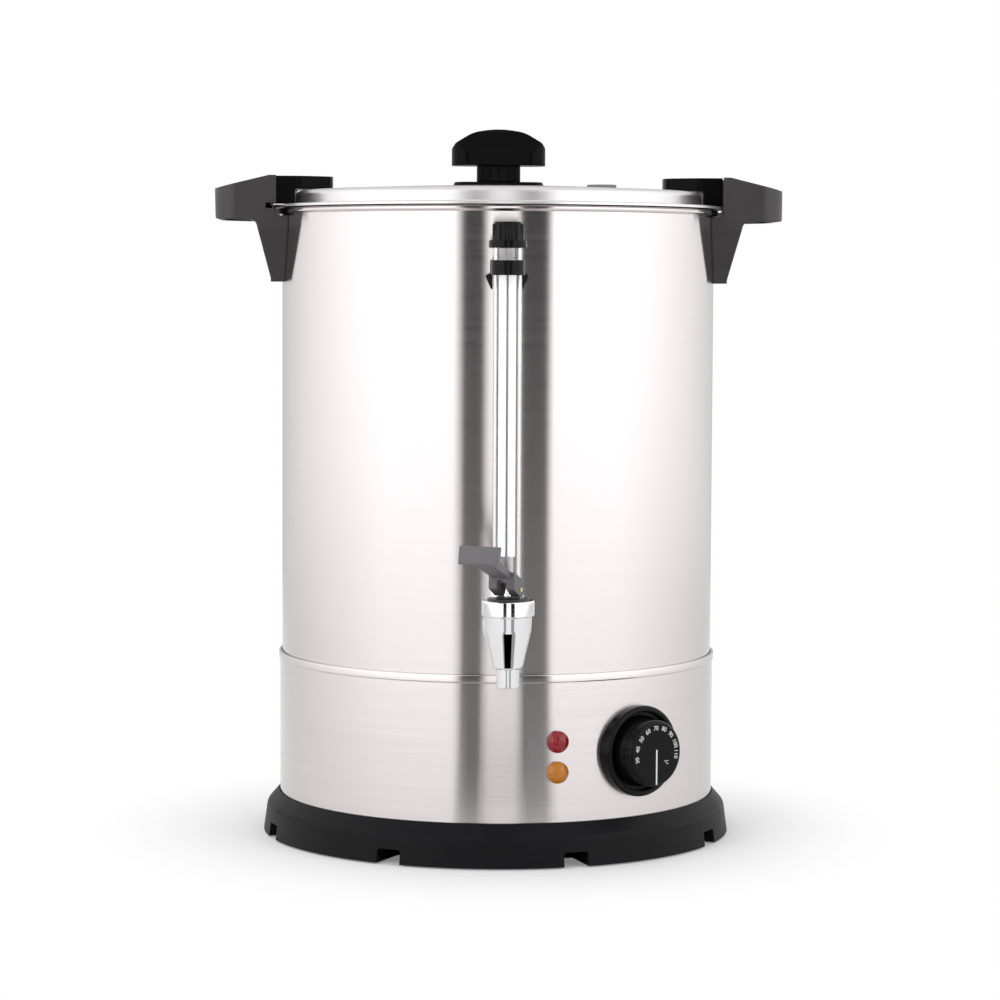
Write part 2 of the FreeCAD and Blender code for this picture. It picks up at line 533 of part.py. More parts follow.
def wall_hole(body, height, radius, turn="0", across="0"):
    """A round hole through one side of a round wall, turned from the front."""
    sketch = circles(body, "XZ_Plane", [(across, height, radius)], turn=turn)
    return sunk(body, sketch, "base_radius", forwards=True)


def box_corners(low_across, high_across, low_up, high_up, rounding=None):
    """The four corners of a rectangle, with one rounding for all."""
    corners = [
        (low_across, low_up),
        (high_across, low_up),
        (high_across, high_up),
        (low_across, high_up),
    ]
    if rounding is None:
        return corners
    return [corner + (rounding,) for corner in corners]


# Base


def make_base_ring():
    """Plastic base ring: flared skirt, ledge for the housing ring, tunnels behind its notches."""
    body = new_body("base_ring")
    lip = f"({SKIRT} + seat_gap)"
    skirt_inside = "(base_shoulder_radius - base_wall)"
    section = [
        ("base_radius", "base_clear"),
        ("base_shoulder_radius", "base_shoulder_height", "6"),
        (f"{lip} + lip_edge", "base_height"),
        (lip, "base_height - lip_edge"),
        (lip, "ledge_height"),
        ("ledge_radius", "ledge_height"),
        ("ledge_radius", "ledge_height - ledge_wall"),
        (skirt_inside, "ledge_height - ledge_wall"),
        ("base_radius - base_wall", "base_clear"),
    ]
    turned(body, outline(body, "XZ_Plane", section))
    half = "(notch_width / 2 + notch_wall)"
    tunnel_back = "(base_radius - notch_depth)"
    tunnel = outline(
        body,
        "XY_Plane",
        box_corners(tunnel_back, "base_shoulder_radius - 1", f"-{half}", half),
        offset="base_clear",
    )
    tunnel_block = raised(body, tunnel, "ledge_height - ledge_wall - base_clear + 0.5")
    around(body, [tunnel_block], "notch_count")
    notch = outline(
        body,
        "YZ_Plane",
        [
            ("-notch_width / 2", "base_clear - 1"),
            ("notch_width / 2", "base_clear - 1"),
            ("notch_width / 2", "base_clear + notch_height", "1.5"),
            ("-notch_width / 2", "base_clear + notch_height", "1.5"),
        ],
        offset=f"{tunnel_back} + notch_wall",
    )
    notch_cut = sunk(body, notch, "notch_depth", forwards=True)
    around(body, [notch_cut], "notch_count")
    screw_holes = circles(
        body,
        "XY_Plane",
        [("screw_pitch_radius", "0", "small_screw_radius + seat_gap")],
        offset="ledge_height",
    )
    around(body, [sunk(body, screw_holes, "ledge_wall + 1")], "4")
    stud_holes = circles(
        body,
        "XY_Plane",
        [("stud_pitch_radius * cos(stud_angle)", "stud_pitch_radius * sin(stud_angle)", "stud_radius + seat_gap")],
        offset="ledge_height",
    )
    around(body, [sunk(body, stud_holes, "ledge_wall + 1")], "4")
    body.setExpression("Placement.Rotation.Angle", link("(notch_turn - 90) * 1deg"))
    return body


def make_bottom_pan():
    """Pressed pan that closes the base from below, with air slots and the reset button's hole."""
    body = new_body("bottom_pan", turn="notch_turn - 90")
    top = "(ledge_height - ledge_wall)"
    section = [
        ("0", "pan_height"),
        ("pan_radius", "pan_height", "3"),
        ("pan_radius", f"{top} - pan_wall", "1"),
        ("pan_flange_radius", f"{top} - pan_wall"),
        ("pan_flange_radius", top),
        ("pan_radius - pan_wall", top, "2"),
        ("pan_radius - pan_wall", "pan_height + pan_wall", "1.5"),
        ("0", "pan_height + pan_wall"),
    ]
    turned(body, outline(body, "XZ_Plane", section))
    holes = circles(
        body,
        "XY_Plane",
        [("screw_pitch_radius", "0", "small_screw_radius + seat_gap")],
        offset=top,
    )
    around(body, [sunk(body, holes, "pan_wall + 1")], "4")
    middle = circles(body, "XY_Plane", [("0", "0", "reset_radius + 1")], offset="pan_height + 2 * pan_wall")
    sunk(body, middle, "pan_wall * 3")
    slot = outline(
        body,
        "XY_Plane",
        box_corners("55", "85", "-2.5", "2.5", "2.4"),
        offset="pan_height + 2 * pan_wall",
    )
    around(body, [sunk(body, slot, "pan_wall * 3")], "12")
    return body


def make_foot_ring():
    """Rubber ring under the pan, which the urn stands on."""
    body = new_body("foot_ring")
    section = [
        ("foot_radius - foot_width", "0"),
        ("foot_radius", "0"),
        ("foot_radius", "pan_height"),
        ("foot_radius - foot_width", "pan_height"),
    ]
    turned(body, outline(body, "XZ_Plane", section))
    return body


def make_pan_screws():
    """Four screws that hold the pan to the base ring."""
    body = new_body("pan_screws", turn="notch_turn - 90")
    seat = "(ledge_height - ledge_wall - pan_wall)"
    head = circles(body, "XY_Plane", [("screw_pitch_radius", "0", "small_head_radius")], offset=seat)
    head_pad = raised(body, head, "small_head_height", backwards=True)
    shank = circles(body, "XY_Plane", [("screw_pitch_radius", "0", "small_screw_radius")], offset=seat)
    shank_pad = raised(body, shank, "pan_wall + ledge_wall + 3")
    around(body, [head_pad, shank_pad], "4")
    return body


def make_housing_ring():
    """Brushed steel ring below the tank, with a folded hem at its top."""
    body = new_body("housing_ring")
    section = [
        (SKIRT_INNER, "ledge_height"),
        (SKIRT, "ledge_height"),
        (SKIRT, "skirt_top - hem_height"),
        (f"{SKIRT} + hem_fold", "skirt_top - hem_height + hem_fold"),
        (f"{SKIRT} + hem_fold", "skirt_top", "0.7"),
        (SKIRT_INNER, "skirt_top"),
    ]
    turned(body, outline(body, "XZ_Plane", section))
    wall_hole(body, "lamp_red_height", "lamp_body_radius + seat_gap", "lamp_turn")
    wall_hole(body, "lamp_amber_height", "lamp_body_radius + seat_gap", "lamp_turn")
    wall_hole(body, "dial_height", "bezel_hole", "dial_turn")
    wall_hole(body, "gland_height", "gland_radius + seat_gap", "180")
    return body


def make_tie_studs():
    """Four studs from the tank floor down through the base ring's ledge."""
    body = new_body("tie_studs", turn="notch_turn - 90")
    spot = [("stud_pitch_radius * cos(stud_angle)", "stud_pitch_radius * sin(stud_angle)", "stud_radius")]
    foot = "(ledge_height - ledge_wall - stud_tip)"
    stud = circles(body, "XY_Plane", spot, offset=foot)
    top = "(tank_floor_height - floor_wall)"
    around(body, [raised(body, stud, f"{top} - {foot}")], "4")
    return body


def make_stud_nuts():
    """Nuts on the tie studs, above and below the ledge."""
    body = new_body("stud_nuts", turn="notch_turn - 90")
    across = "stud_pitch_radius * cos(stud_angle)"
    up = "stud_pitch_radius * sin(stud_angle)"
    under = "(ledge_height - ledge_wall)"
    rings = [(across, up, "nut_radius"), (across, up, "stud_radius + seat_gap / 2")]
    low = raised(body, circles(body, "XY_Plane", rings, offset=under), "nut_height", backwards=True)
    high = raised(body, circles(body, "XY_Plane", rings, offset="ledge_height"), "nut_height")
    around(body, [low, high], "4")
    return body


# Tank


def make_tank_wall():
    """Brushed steel tank wall with a rolled rim and holes for the tap and the handles."""
    body = new_body("tank_wall")
    foot = "(tank_floor_height - shell_lap)"
    bead = "(shell_radius + rim_bead)"
    section = [
        (INNER, foot),
        ("shell_radius", foot),
        ("shell_radius", BEAD_FOOT),
        (bead, BEAD_FOOT, "1.7"),
        (bead, "rim_height", "1.7"),
        (INNER, "rim_height", "0.4"),
    ]
    turned(body, outline(body, "XZ_Plane", section))
    wall_hole(body, "shank_height", "shank_radius + seat_gap")
    hole_radius = "handle_screw_radius + seat_gap"
    for turn in ("90", "-90"):
        for across in ("handle_screw_spread", "-handle_screw_spread"):
            wall_hole(body, "handle_screw_height", hole_radius, turn, across)
    return body


def make_tank_floor():
    """Pressed floor of the tank, its rim turned up against the wall."""
    body = new_body("tank_floor")
    edge = f"({INNER} - seat_gap / 2)"
    under = "(tank_floor_height - floor_wall)"
    section = [
        ("0", under),
        (edge, under, "4"),
        (edge, "tank_floor_height + floor_rim"),
        (f"{edge} - floor_wall", "tank_floor_height + floor_rim"),
        (f"{edge} - floor_wall", "tank_floor_height", "2.8"),
        ("0", "tank_floor_height"),
    ]
    turned(body, outline(body, "XZ_Plane", section))
    return body


# Heating


def make_heat_spreader():
    """Aluminium disc between the tank floor and the heating element."""
    body = new_body("heat_spreader")
    disc = circles(body, "XY_Plane", [("0", "0", "spreader_radius")], offset=SPREADER_FOOT)
    raised(body, disc, "spreader_wall")
    return body


def make_heating_element():
    """Tubular loop under the spreader with two legs that end in its terminals."""
    body = new_body("heating_element")
    loop = circles(body, "XZ_Plane", [("element_radius", ELEMENT_HEIGHT, "element_tube")])
    turned(body, loop)
    reach = "sqrt(element_radius ^ 2 - element_leg_spread ^ 2)"
    spots = [(side + "element_leg_spread", reach, "element_leg_radius") for side in ("", "-")]
    raised(body, circles(body, "XY_Plane", spots, offset=ELEMENT_HEIGHT), "element_leg", backwards=True)
    return body


def make_element_clamps():
    """Three bridges that press the heating element against the spreader."""
    body = new_body("element_clamps", turn="30")
    low = f"({ELEMENT_HEIGHT} - element_tube - seat_gap - clamp_wall)"
    half = "(element_tube + seat_gap)"
    section = [
        (f"element_radius - {half} - 10", SPREADER_FOOT),
        (f"element_radius - {half} - 10", f"{SPREADER_FOOT} - clamp_wall"),
        (f"element_radius - {half} - clamp_wall", f"{SPREADER_FOOT} - clamp_wall"),
        (f"element_radius - {half} - clamp_wall", low),
        (f"element_radius + {half} + clamp_wall", low),
        (f"element_radius + {half} + clamp_wall", f"{SPREADER_FOOT} - clamp_wall"),
        (f"element_radius + {half} + 10", f"{SPREADER_FOOT} - clamp_wall"),
        (f"element_radius + {half} + 10", SPREADER_FOOT),
        (f"element_radius + {half} + 0.6", SPREADER_FOOT),
        (f"element_radius + {half} + 0.6", f"{low} + clamp_wall"),
        (f"element_radius - {half} - 0.6", f"{low} + clamp_wall"),
        (f"element_radius - {half} - 0.6", SPREADER_FOOT),
    ]
    bridge = raised(body, outline(body, "XZ_Plane", section), "clamp_width", both_ways=True)
    around(body, [bridge], "3")
    return body


def make_boil_dry_cutout():
    """Boil-dry cut-out on its post under the spreader, with a hole for the reset button."""
    body = new_body("boil_dry_cutout")
    can_height = "22"
    can = circles(body, "XY_Plane", [("0", "0", "cutout_radius")], offset="cutout_foot")
    raised(body, can, can_height)
    post = circles(body, "XY_Plane", [("0", "0", "cutout_bracket")], offset=f"cutout_foot + {can_height}")
    raised(body, post, f"{SPREADER_FOOT} - cutout_foot - {can_height}")
    tube = circles(body, "XY_Plane", [("0", "0", "reset_radius + 3")], offset="cutout_foot")
    raised(body, tube, "cutout_foot - pan_height - pan_wall - 0.5", backwards=True)
    bore = circles(body, "XY_Plane", [("0", "0", "reset_radius + shaft_gap")], offset="cutout_foot + 8")
    sunk(body, bore, "cutout_foot + 8")
    return body


def make_reset_button():
    """Reset button of the cut-out, pushed up from below."""
    body = new_body("reset_button")
    rod = circles(body, "XY_Plane", [("0", "0", "reset_radius")], offset="reset_tip")
    raised(body, rod, "cutout_foot + 8 - reset_travel - run_gap - reset_tip")
    return body


# Thermostat and wiring points


def make_thermostat_body():
    """Thermostat behind the housing ring, with a threaded bush round the dial's shaft."""
    body = new_body("thermostat_body", "dial_height", "dial_turn")
    half_across = "thermostat_half_width"
    half_up = "thermostat_half_height"
    back = "(thermostat_front - thermostat_depth)"
    block = outline(
        body,
        "XZ_Plane",
        box_corners(f"-{half_across}", half_across, f"-{half_up}", half_up, "2"),
        offset=back,
    )
    raised(body, block, "thermostat_depth")
    bush = circles(body, "XZ_Plane", [("0", "0", "bezel_hole - seat_gap")], offset="thermostat_front")
    raised(body, bush, f"{SKIRT_INNER} + 2.4 - thermostat_front")
    bore = circles(body, "XZ_Plane", [("0", "0", "shaft_radius + shaft_gap")], offset=f"{SKIRT} + 5")
    sunk(body, bore, f"{SKIRT} + 5 - shaft_back + run_gap")
    return body


def make_thermostat_bulb():
    """Sensing bulb under the spreader and the capillary that joins it to the thermostat."""
    node = doc.addObject("Part::Feature", "thermostat_bulb")
    node.Label = "thermostat_bulb"
    turn = math.radians(measure("dial_turn"))
    outward = FreeCAD.Vector(math.sin(turn), -math.cos(turn), 0)
    sideways = FreeCAD.Vector(math.cos(turn), math.sin(turn), 0)
    spot = outward * measure("bulb_offset") + sideways * (-measure("bulb_length") / 2)
    height = measure(f"{SPREADER_FOOT} - bulb_radius - seat_gap")
    start = spot + FreeCAD.Vector(0, 0, height)
    bulb = Part.makeCylinder(measure("bulb_radius"), measure("bulb_length"), start, sideways)
    top = measure("dial_height + thermostat_half_height")
    elbow = start + sideways * measure("bulb_length + capillary_lead")
    over = outward * measure("thermostat_front - thermostat_depth / 2") + FreeCAD.Vector(0, 0, height)
    low = measure(f"{ELEMENT_HEIGHT} - element_tube - capillary_drop")
    joint = start + sideways * (measure("bulb_length") - 0.5)
    radius = measure("capillary_radius")
    runs = [
        joint,
        elbow,
        FreeCAD.Vector(elbow.x, elbow.y, low),
        FreeCAD.Vector(over.x, over.y, low),
        FreeCAD.Vector(over.x, over.y, top),
    ]
    solid = bulb
    for first, second in zip(runs, runs[1:]):
        length = (second - first).Length
        solid = solid.fuse(Part.makeCylinder(radius, length, first, second - first))
        solid = solid.fuse(Part.makeSphere(radius, second)) if second is not runs[-1] else solid
    node.Shape = solid.removeSplitter()
    node.Placement = FreeCAD.Placement()
    return node


def make_terminal_block():
    """Terminal block on the tie studs' side of the housing, near the cable gland."""
    body = new_body("terminal_block")
    half = "(terminal_length / 2)"
    plan = box_corners(f"-{half}", half, "terminal_front - terminal_depth", "terminal_front", "1.5")
    raised(body, outline(body, "XY_Plane", plan, offset="ledge_height"), "terminal_height")
    for share in (-0.36, -0.12, 0.12, 0.36):
        spot = [(f"{share} * terminal_length", "terminal_front - terminal_depth / 2", "2.4")]
        screw_well = circles(body, "XY_Plane", spot, offset="ledge_height + terminal_height")
        sunk(body, screw_well, "4")
    return body


def make_cable_gland():
    """Cable gland at the back of the housing ring, its bore open for the supply cord."""
    body = new_body("cable_gland", "gland_height", "180")
    out = f"-({SKIRT} + gland_length)"
    rim = f"-({SKIRT} + seat_gap)"
    section = [
        (out, "gland_bore"),
        (out, "gland_bore + 2.2", "1"),
        (f"{rim} - 4", "gland_flange_radius - 1", "1"),
        (f"{rim} - 4", "gland_flange_radius", "0.6"),
        (rim, "gland_flange_radius"),
        (rim, "gland_radius"),
        (f"-({SKIRT} - gland_inside)", "gland_radius"),
        (f"-({SKIRT} - gland_inside)", "gland_bore"),
    ]
    turned(body, outline(body, "YZ_Plane", section), "H_Axis")
    return body


def make_gland_nut():
    """Nut that holds the cable gland from inside."""
    body = new_body("gland_nut", "gland_height", "180")
    face = f"-({SKIRT_INNER} - 0.6)"
    section = [
        (face, "gland_radius + seat_gap / 2"),
        (face, "gland_flange_radius + 1"),
        (f"{face} + 5", "gland_flange_radius + 1"),
        (f"{face} + 5", "gland_radius + seat_gap / 2"),
    ]
    turned(body, outline(body, "YZ_Plane", section), "H_Axis")
    return body


# Lamps and dial


def make_lamp_lens(label, height):
    """Domed lens of an indicator lamp."""
    body = new_body(label, height, "lamp_turn")
    back = f"-({SKIRT} + seat_gap)"
    section = [
        (back, "0"),
        (back, "lens_radius"),
        (f"{back} - lens_rim", "lens_radius", "0.8"),
        (f"{back} - lens_rim - lens_dome", "lens_radius * 0.5", "5.5"),
        (f"{back} - lens_rim - lens_dome", "0"),
    ]
    turned(body, outline(body, "YZ_Plane", section), "H_Axis")
    return body


def make_lamp_body(label, height):
    """Body of an indicator lamp, inside the housing ring."""
    body = new_body(label, height, "lamp_turn")
    front = f"-({SKIRT})"
    section = [
        (front, "0"),
        (front, "lamp_body_radius"),
        (f"{front} + lamp_body_length", "lamp_body_radius"),
        (f"{front} + lamp_body_length", "1.5"),
        (f"{front} + lamp_body_length + 6", "1.5"),
        (f"{front} + lamp_body_length + 6", "0"),
    ]
    turned(body, outline(body, "YZ_Plane", section), "H_Axis")
    return body


def make_lamp_nuts():
    """Spring nuts that hold the two lamps."""
    body = new_body("lamp_nuts", "0", "lamp_turn")
    for height in ("lamp_red_height", "lamp_amber_height"):
        rings = [("0", height, "lamp_body_radius + 3.4"), ("0", height, "lamp_body_radius + seat_gap / 2")]
        ring = circles(body, "XZ_Plane", rings, offset=f"{SKIRT_INNER} - 4")
        raised(body, ring, "3.6")
    return body


def make_dial_bezel():
    """Round bezel on the housing ring with a well for the dial knob."""
    body = new_body("dial_bezel", "dial_height", "dial_turn")
    section = [
        ("-bezel_back", "bezel_hole"),
        ("-bezel_back", "bezel_radius"),
        ("-bezel_face", "bezel_radius", "2.2"),
        ("-bezel_face", "bezel_well_radius", "0.8"),
        ("-bezel_well_floor", "bezel_well_radius - 0.6"),
        ("-bezel_well_floor", "bezel_hole"),
    ]
    turned(body, outline(body, "YZ_Plane", section), "H_Axis")
    wall = circles(body, "XY_Plane", [("0", "0", f"{SKIRT} + seat_gap")], offset="-bezel_radius - 1")
    sunk(body, wall, "2 * bezel_radius + 2", forwards=True)
    return body


def make_dial_knob():
    """Hollow dial knob on the thermostat's shaft."""
    body = new_body("dial_knob", "dial_height", "dial_turn")
    foot = "(bezel_well_floor + run_gap + 0.7)"
    section = [
        ("-dial_face", "0"),
        ("-dial_face", "dial_radius", "dial_edge"),
        ("-(dial_face - 8)", "dial_radius + 0.6", "3"),
        (f"-{foot}", "dial_foot_radius", "0.8"),
        (f"-{foot}", "dial_foot_radius - dial_wall", "0.6"),
        ("-(dial_face - dial_wall)", "dial_radius - dial_wall", "1.5"),
        ("-(dial_face - dial_wall)", "dial_boss_radius"),
        (f"-{foot}", "dial_boss_radius"),
        (f"-{foot}", "shaft_radius"),
        ("-shaft_front", "shaft_radius"),
        ("-shaft_front", "0"),
    ]
    turned(body, outline(body, "YZ_Plane", section), "H_Axis")
    return body


def make_dial_shaft():
    """Shaft of the thermostat, which carries the dial knob."""
    body = new_body("dial_shaft", "dial_height", "dial_turn")
    shaft = circles(body, "XZ_Plane", [("0", "0", "shaft_radius")], offset="shaft_back + run_gap")
    raised(body, shaft, "shaft_front - shaft_back - run_gap")
    return body


# Handles


def make_handle(label, turn):
    """Side handle: a sloping shelf with a finger hollow, on a tapering leg against the tank."""
    body = new_body(label, turn=turn)
    inside = "(shell_radius - 8)"
    plan = [
        (inside, "-handle_half_width", "2"),
        ("handle_reach", "-handle_half_width", "handle_corner"),
        ("handle_reach", "handle_half_width", "handle_corner"),
        (inside, "handle_half_width", "2"),
    ]
    raised(body, outline(body, "XY_Plane", plan, offset="handle_bottom"), "lug_top - handle_bottom")
    over = [
        (inside, "lug_top + 0.01"),
        (HANDLE_INNER, "lug_top"),
        ("handle_reach + 1", "handle_top_outer"),
        ("handle_reach + 1", "lug_top + 10"),
        (inside, "lug_top + 10"),
    ]
    sunk(body, outline(body, "XZ_Plane", over), "handle_half_width * 2 + 2", both_ways=True)
    under = [
        ("leg_foot_reach", "handle_bottom - 10"),
        ("leg_foot_reach", "handle_bottom + leg_foot_height", "2"),
        ("leg_root_reach", "grip_root", "5"),
        ("handle_reach - grip_lean", "grip_bottom", "1.5"),
        ("handle_reach", "handle_top_outer"),
        ("handle_reach + 10", "handle_top_outer"),
        ("handle_reach + 10", "handle_bottom - 10"),
    ]
    sunk(body, outline(body, "XZ_Plane", under), "handle_half_width * 2 + 2", both_ways=True)
    for side in ("", "-"):
        flank = [
            (f"{side}leg_foot_half_width", "handle_bottom - 1"),
            (f"{side}(handle_half_width + 1)", "grip_root - leg_flank_drop"),
            (f"{side}(handle_half_width + 1)", "handle_bottom - 1"),
        ]
        sunk(body, outline(body, "YZ_Plane", flank, offset=inside), "handle_reach - shell_radius + 12", forwards=True)
    tank_side = box_corners("0", "shell_radius + seat_gap", "handle_bottom - 1", "lug_top + 1")
    turned_cut(body, outline(body, "XZ_Plane", tank_side))
    rim_side = [
        ("0", f"{BEAD_FOOT} - 1.5"),
        (HANDLE_INNER, f"{BEAD_FOOT} - 1.5", "1.5"),
        (HANDLE_INNER, "lug_top + 1"),
        ("0", "lug_top + 1"),
    ]
    turned_cut(body, outline(body, "XZ_Plane", rim_side))
    hollow_side = "(handle_half_width - grip_wall * 1.5)"
    hollow = outline(
        body,
        "XY_Plane",
        box_corners(
            "leg_root_reach + grip_wall",
            "handle_reach - grip_lean - grip_wall",
            f"-{hollow_side}",
            hollow_side,
            "8",
        ),
        offset="finger_roof",
    )
    sunk(body, hollow, "finger_roof - handle_bottom")
    slot_middle = f"({FLANGE_TOP} - lid_edge / 2)"
    slot = outline(
        body,
        "XZ_Plane",
        box_corners(
            "shell_radius",
            "lid_flange_radius + ear_reach + handle_lid_gap",
            f"{slot_middle} - slot_height / 2",
            f"{slot_middle} + slot_height / 2",
        ),
        turn="-slot_stop",
    )
    turned_cut(body, slot, angle="slot_stop + ear_turn + 6", backwards=False)
    for across in ("handle_screw_spread", "-handle_screw_spread"):
        hole = circles(
            body,
            "YZ_Plane",
            [(across, "handle_screw_height", "handle_screw_radius + seat_gap / 2")],
            offset="shell_radius - 8",
        )
        sunk(body, hole, "handle_screw_reach + 0.5 - shell_radius + 8", forwards=True)
    return body


def make_handle_plates():
    """Curved backing plates inside the tank behind the handles."""
    body = new_body("handle_plates")
    outer = f"({INNER} - seat_gap)"
    section = box_corners(
        f"{outer} - backing_wall",
        outer,
        "handle_screw_height - backing_half_height",
        "handle_screw_height + backing_half_height",
        "0.5",
    )
    plate = turned(body, outline(body, "XZ_Plane", section), angle="backing_half_angle * 2", middle=True)
    parts = [plate]
    for across in ("handle_screw_spread", "-handle_screw_spread"):
        hole = circles(
            body,
            "YZ_Plane",
            [(across, "handle_screw_height", "handle_screw_radius + seat_gap / 2")],
            offset="shell_radius - 20",
        )
        parts.append(sunk(body, hole, "30", forwards=True))
    mirrored(body, parts, "YZ_Plane")
    return body


def make_handle_screws():
    """Screws from inside the tank into the handles' legs."""
    body = new_body("handle_screws")
    inner_face = f"sqrt(({INNER} - seat_gap - backing_wall) ^ 2 - (handle_screw_spread + 4.2) ^ 2)"
    parts = []
    for across in ("handle_screw_spread", "-handle_screw_spread"):
        head = circles(body, "YZ_Plane", [(across, "handle_screw_height", "4.2")], offset=f"{inner_face} - 0.1")
        parts.append(raised(body, head, "2.8", backwards=True))
        shank_spot = [(across, "handle_screw_height", "handle_screw_radius")]
        shank = circles(body, "YZ_Plane", shank_spot, offset=f"{inner_face} - 0.2")
        parts.append(raised(body, shank, f"handle_screw_reach - {inner_face} + 0.2"))
    mirrored(body, parts, "YZ_Plane")
    return body


# Lid


def make_lid_pan():
    """Raised steel lid with a flat flange, a turned edge, two locking ears and its holes."""
    body = new_body("lid_pan")
    under = f"({FLANGE_TOP} - lid_wall)"
    section = [
        ("0", f"{LID_TOP} - lid_wall"),
        ("lid_flat_radius", f"{LID_TOP} - lid_wall"),
        ("lid_dome_radius - lid_wall", f"{LID_TOP} - lid_crown - lid_wall", "lid_corner - lid_wall"),
        ("lid_dome_radius - lid_wall", under, "lid_root + lid_wall"),
        ("lid_flange_radius - lid_wall", under),
        ("lid_flange_radius - lid_wall", FLANGE_FOOT),
        ("lid_flange_radius", FLANGE_FOOT),
        ("lid_flange_radius", FLANGE_TOP, "0.7"),
        ("lid_dome_radius", FLANGE_TOP, "lid_root"),
        ("lid_dome_radius", f"{LID_TOP} - lid_crown", "lid_corner"),
        ("lid_flat_radius", LID_TOP),
        ("0", LID_TOP),
    ]
    turned(body, outline(body, "XZ_Plane", section))
    ear_plan = box_corners(
        "lid_flange_radius - 3",
        "lid_flange_radius + ear_reach",
        "-ear_half_width",
        "ear_half_width",
        "1.2",
    )
    ear = outline(body, "XY_Plane", ear_plan, offset=f"{FLANGE_TOP} - lid_wall")
    around(body, [raised(body, ear, "lid_wall")], "2")
    for across, up, radius in (
        ("0", "0", "small_screw_radius + seat_gap"),
        ("vent_offset * cos(ear_turn)", "-vent_offset * sin(ear_turn)", "vent_neck_radius + seat_gap"),
    ):
        hole = circles(body, "XY_Plane", [(across, up, radius)], offset=f"{LID_TOP} + 1")
        sunk(body, hole, "lid_wall + 2")
    body.setExpression("Placement.Rotation.Angle", link("ear_turn * 1deg"))
    return body


def make_lid_gasket():
    """Silicone ring under the lid's flange, inside the tank's rim."""
    body = new_body("lid_gasket")
    outer = f"({INNER} - run_gap)"
    top = f"({FLANGE_TOP} - lid_wall - run_gap)"
    section = box_corners(f"{outer} - gasket_width", outer, f"{top} - gasket_height", top, "0.8")
    turned(body, outline(body, "XZ_Plane", section))
    return body


def make_lug(label, turn):
    """Lug on the lid's flange whose rounded tip reaches in over the lid."""
    body = new_body(label, turn=turn)
    plan = [
        ("lug_tip_radius", "-lug_nose", "lug_nose * 0.9"),
        ("lid_dome_radius - 4", "-lug_half_width", "6"),
        ("lid_flange_radius + 5", "-lug_half_width"),
        ("lid_flange_radius + 5", "lug_half_width"),
        ("lid_dome_radius - 4", "lug_half_width", "6"),
        ("lug_tip_radius", "lug_nose", "lug_nose * 0.9"),
    ]
    raised(body, outline(body, "XY_Plane", plan, offset=FLANGE_TOP), f"lug_top - {FLANGE_TOP}")
    outside = box_corners(
        "lid_flange_radius - 0.4",
        "lid_flange_radius + 20",
        f"{FLANGE_TOP} - 1",
        "lug_top + 1",
    )
    turned_cut(body, outline(body, "XZ_Plane", outside))
    middle = [
        ("0", f"{FLANGE_TOP} - 1"),
        ("lid_dome_radius + lid_root + 0.2", f"{FLANGE_TOP} - 1"),
        ("lid_dome_radius + lid_root + 0.2", "lug_top - lug_plate", "2"),
        ("0", "lug_top - lug_plate"),
    ]
    turned_cut(body, outline(body, "XZ_Plane", middle))
    dent = [
        ("lug_dent_radius - 11", "lug_top + 1"),
        ("lug_dent_radius - 11", "lug_top"),
        ("lug_dent_radius - 9", "lug_top - lug_dent_depth"),
        ("lug_dent_radius", "lug_top - lug_dent_depth"),
        ("lug_dent_radius + 2", "lug_top"),
        ("lug_dent_radius + 2", "lug_top + 1"),
    ]
    sunk(body, outline(body, "XZ_Plane", dent), "lug_half_width * 1.5", both_ways=True)
    return body


def make_knob_plate():
    """Plate with sloping edges under the knob."""
    body = new_body("knob_plate")
    half = "(knob_width / 2)"
    deep = "(knob_plate_depth / 2)"
    plan = box_corners(f"-{half}", half, f"-{deep}", deep, "knob_plate_depth / 2 - 2")
    raised(body, outline(body, "XY_Plane", plan, offset=LID_TOP), "knob_plate_height", slope="knob_plate_slope")
    hole = circles(body, "XY_Plane", [("0", "0", "small_screw_radius + seat_gap")], offset=f"{LID_TOP} + 8")
    sunk(body, hole, "10")
    return body


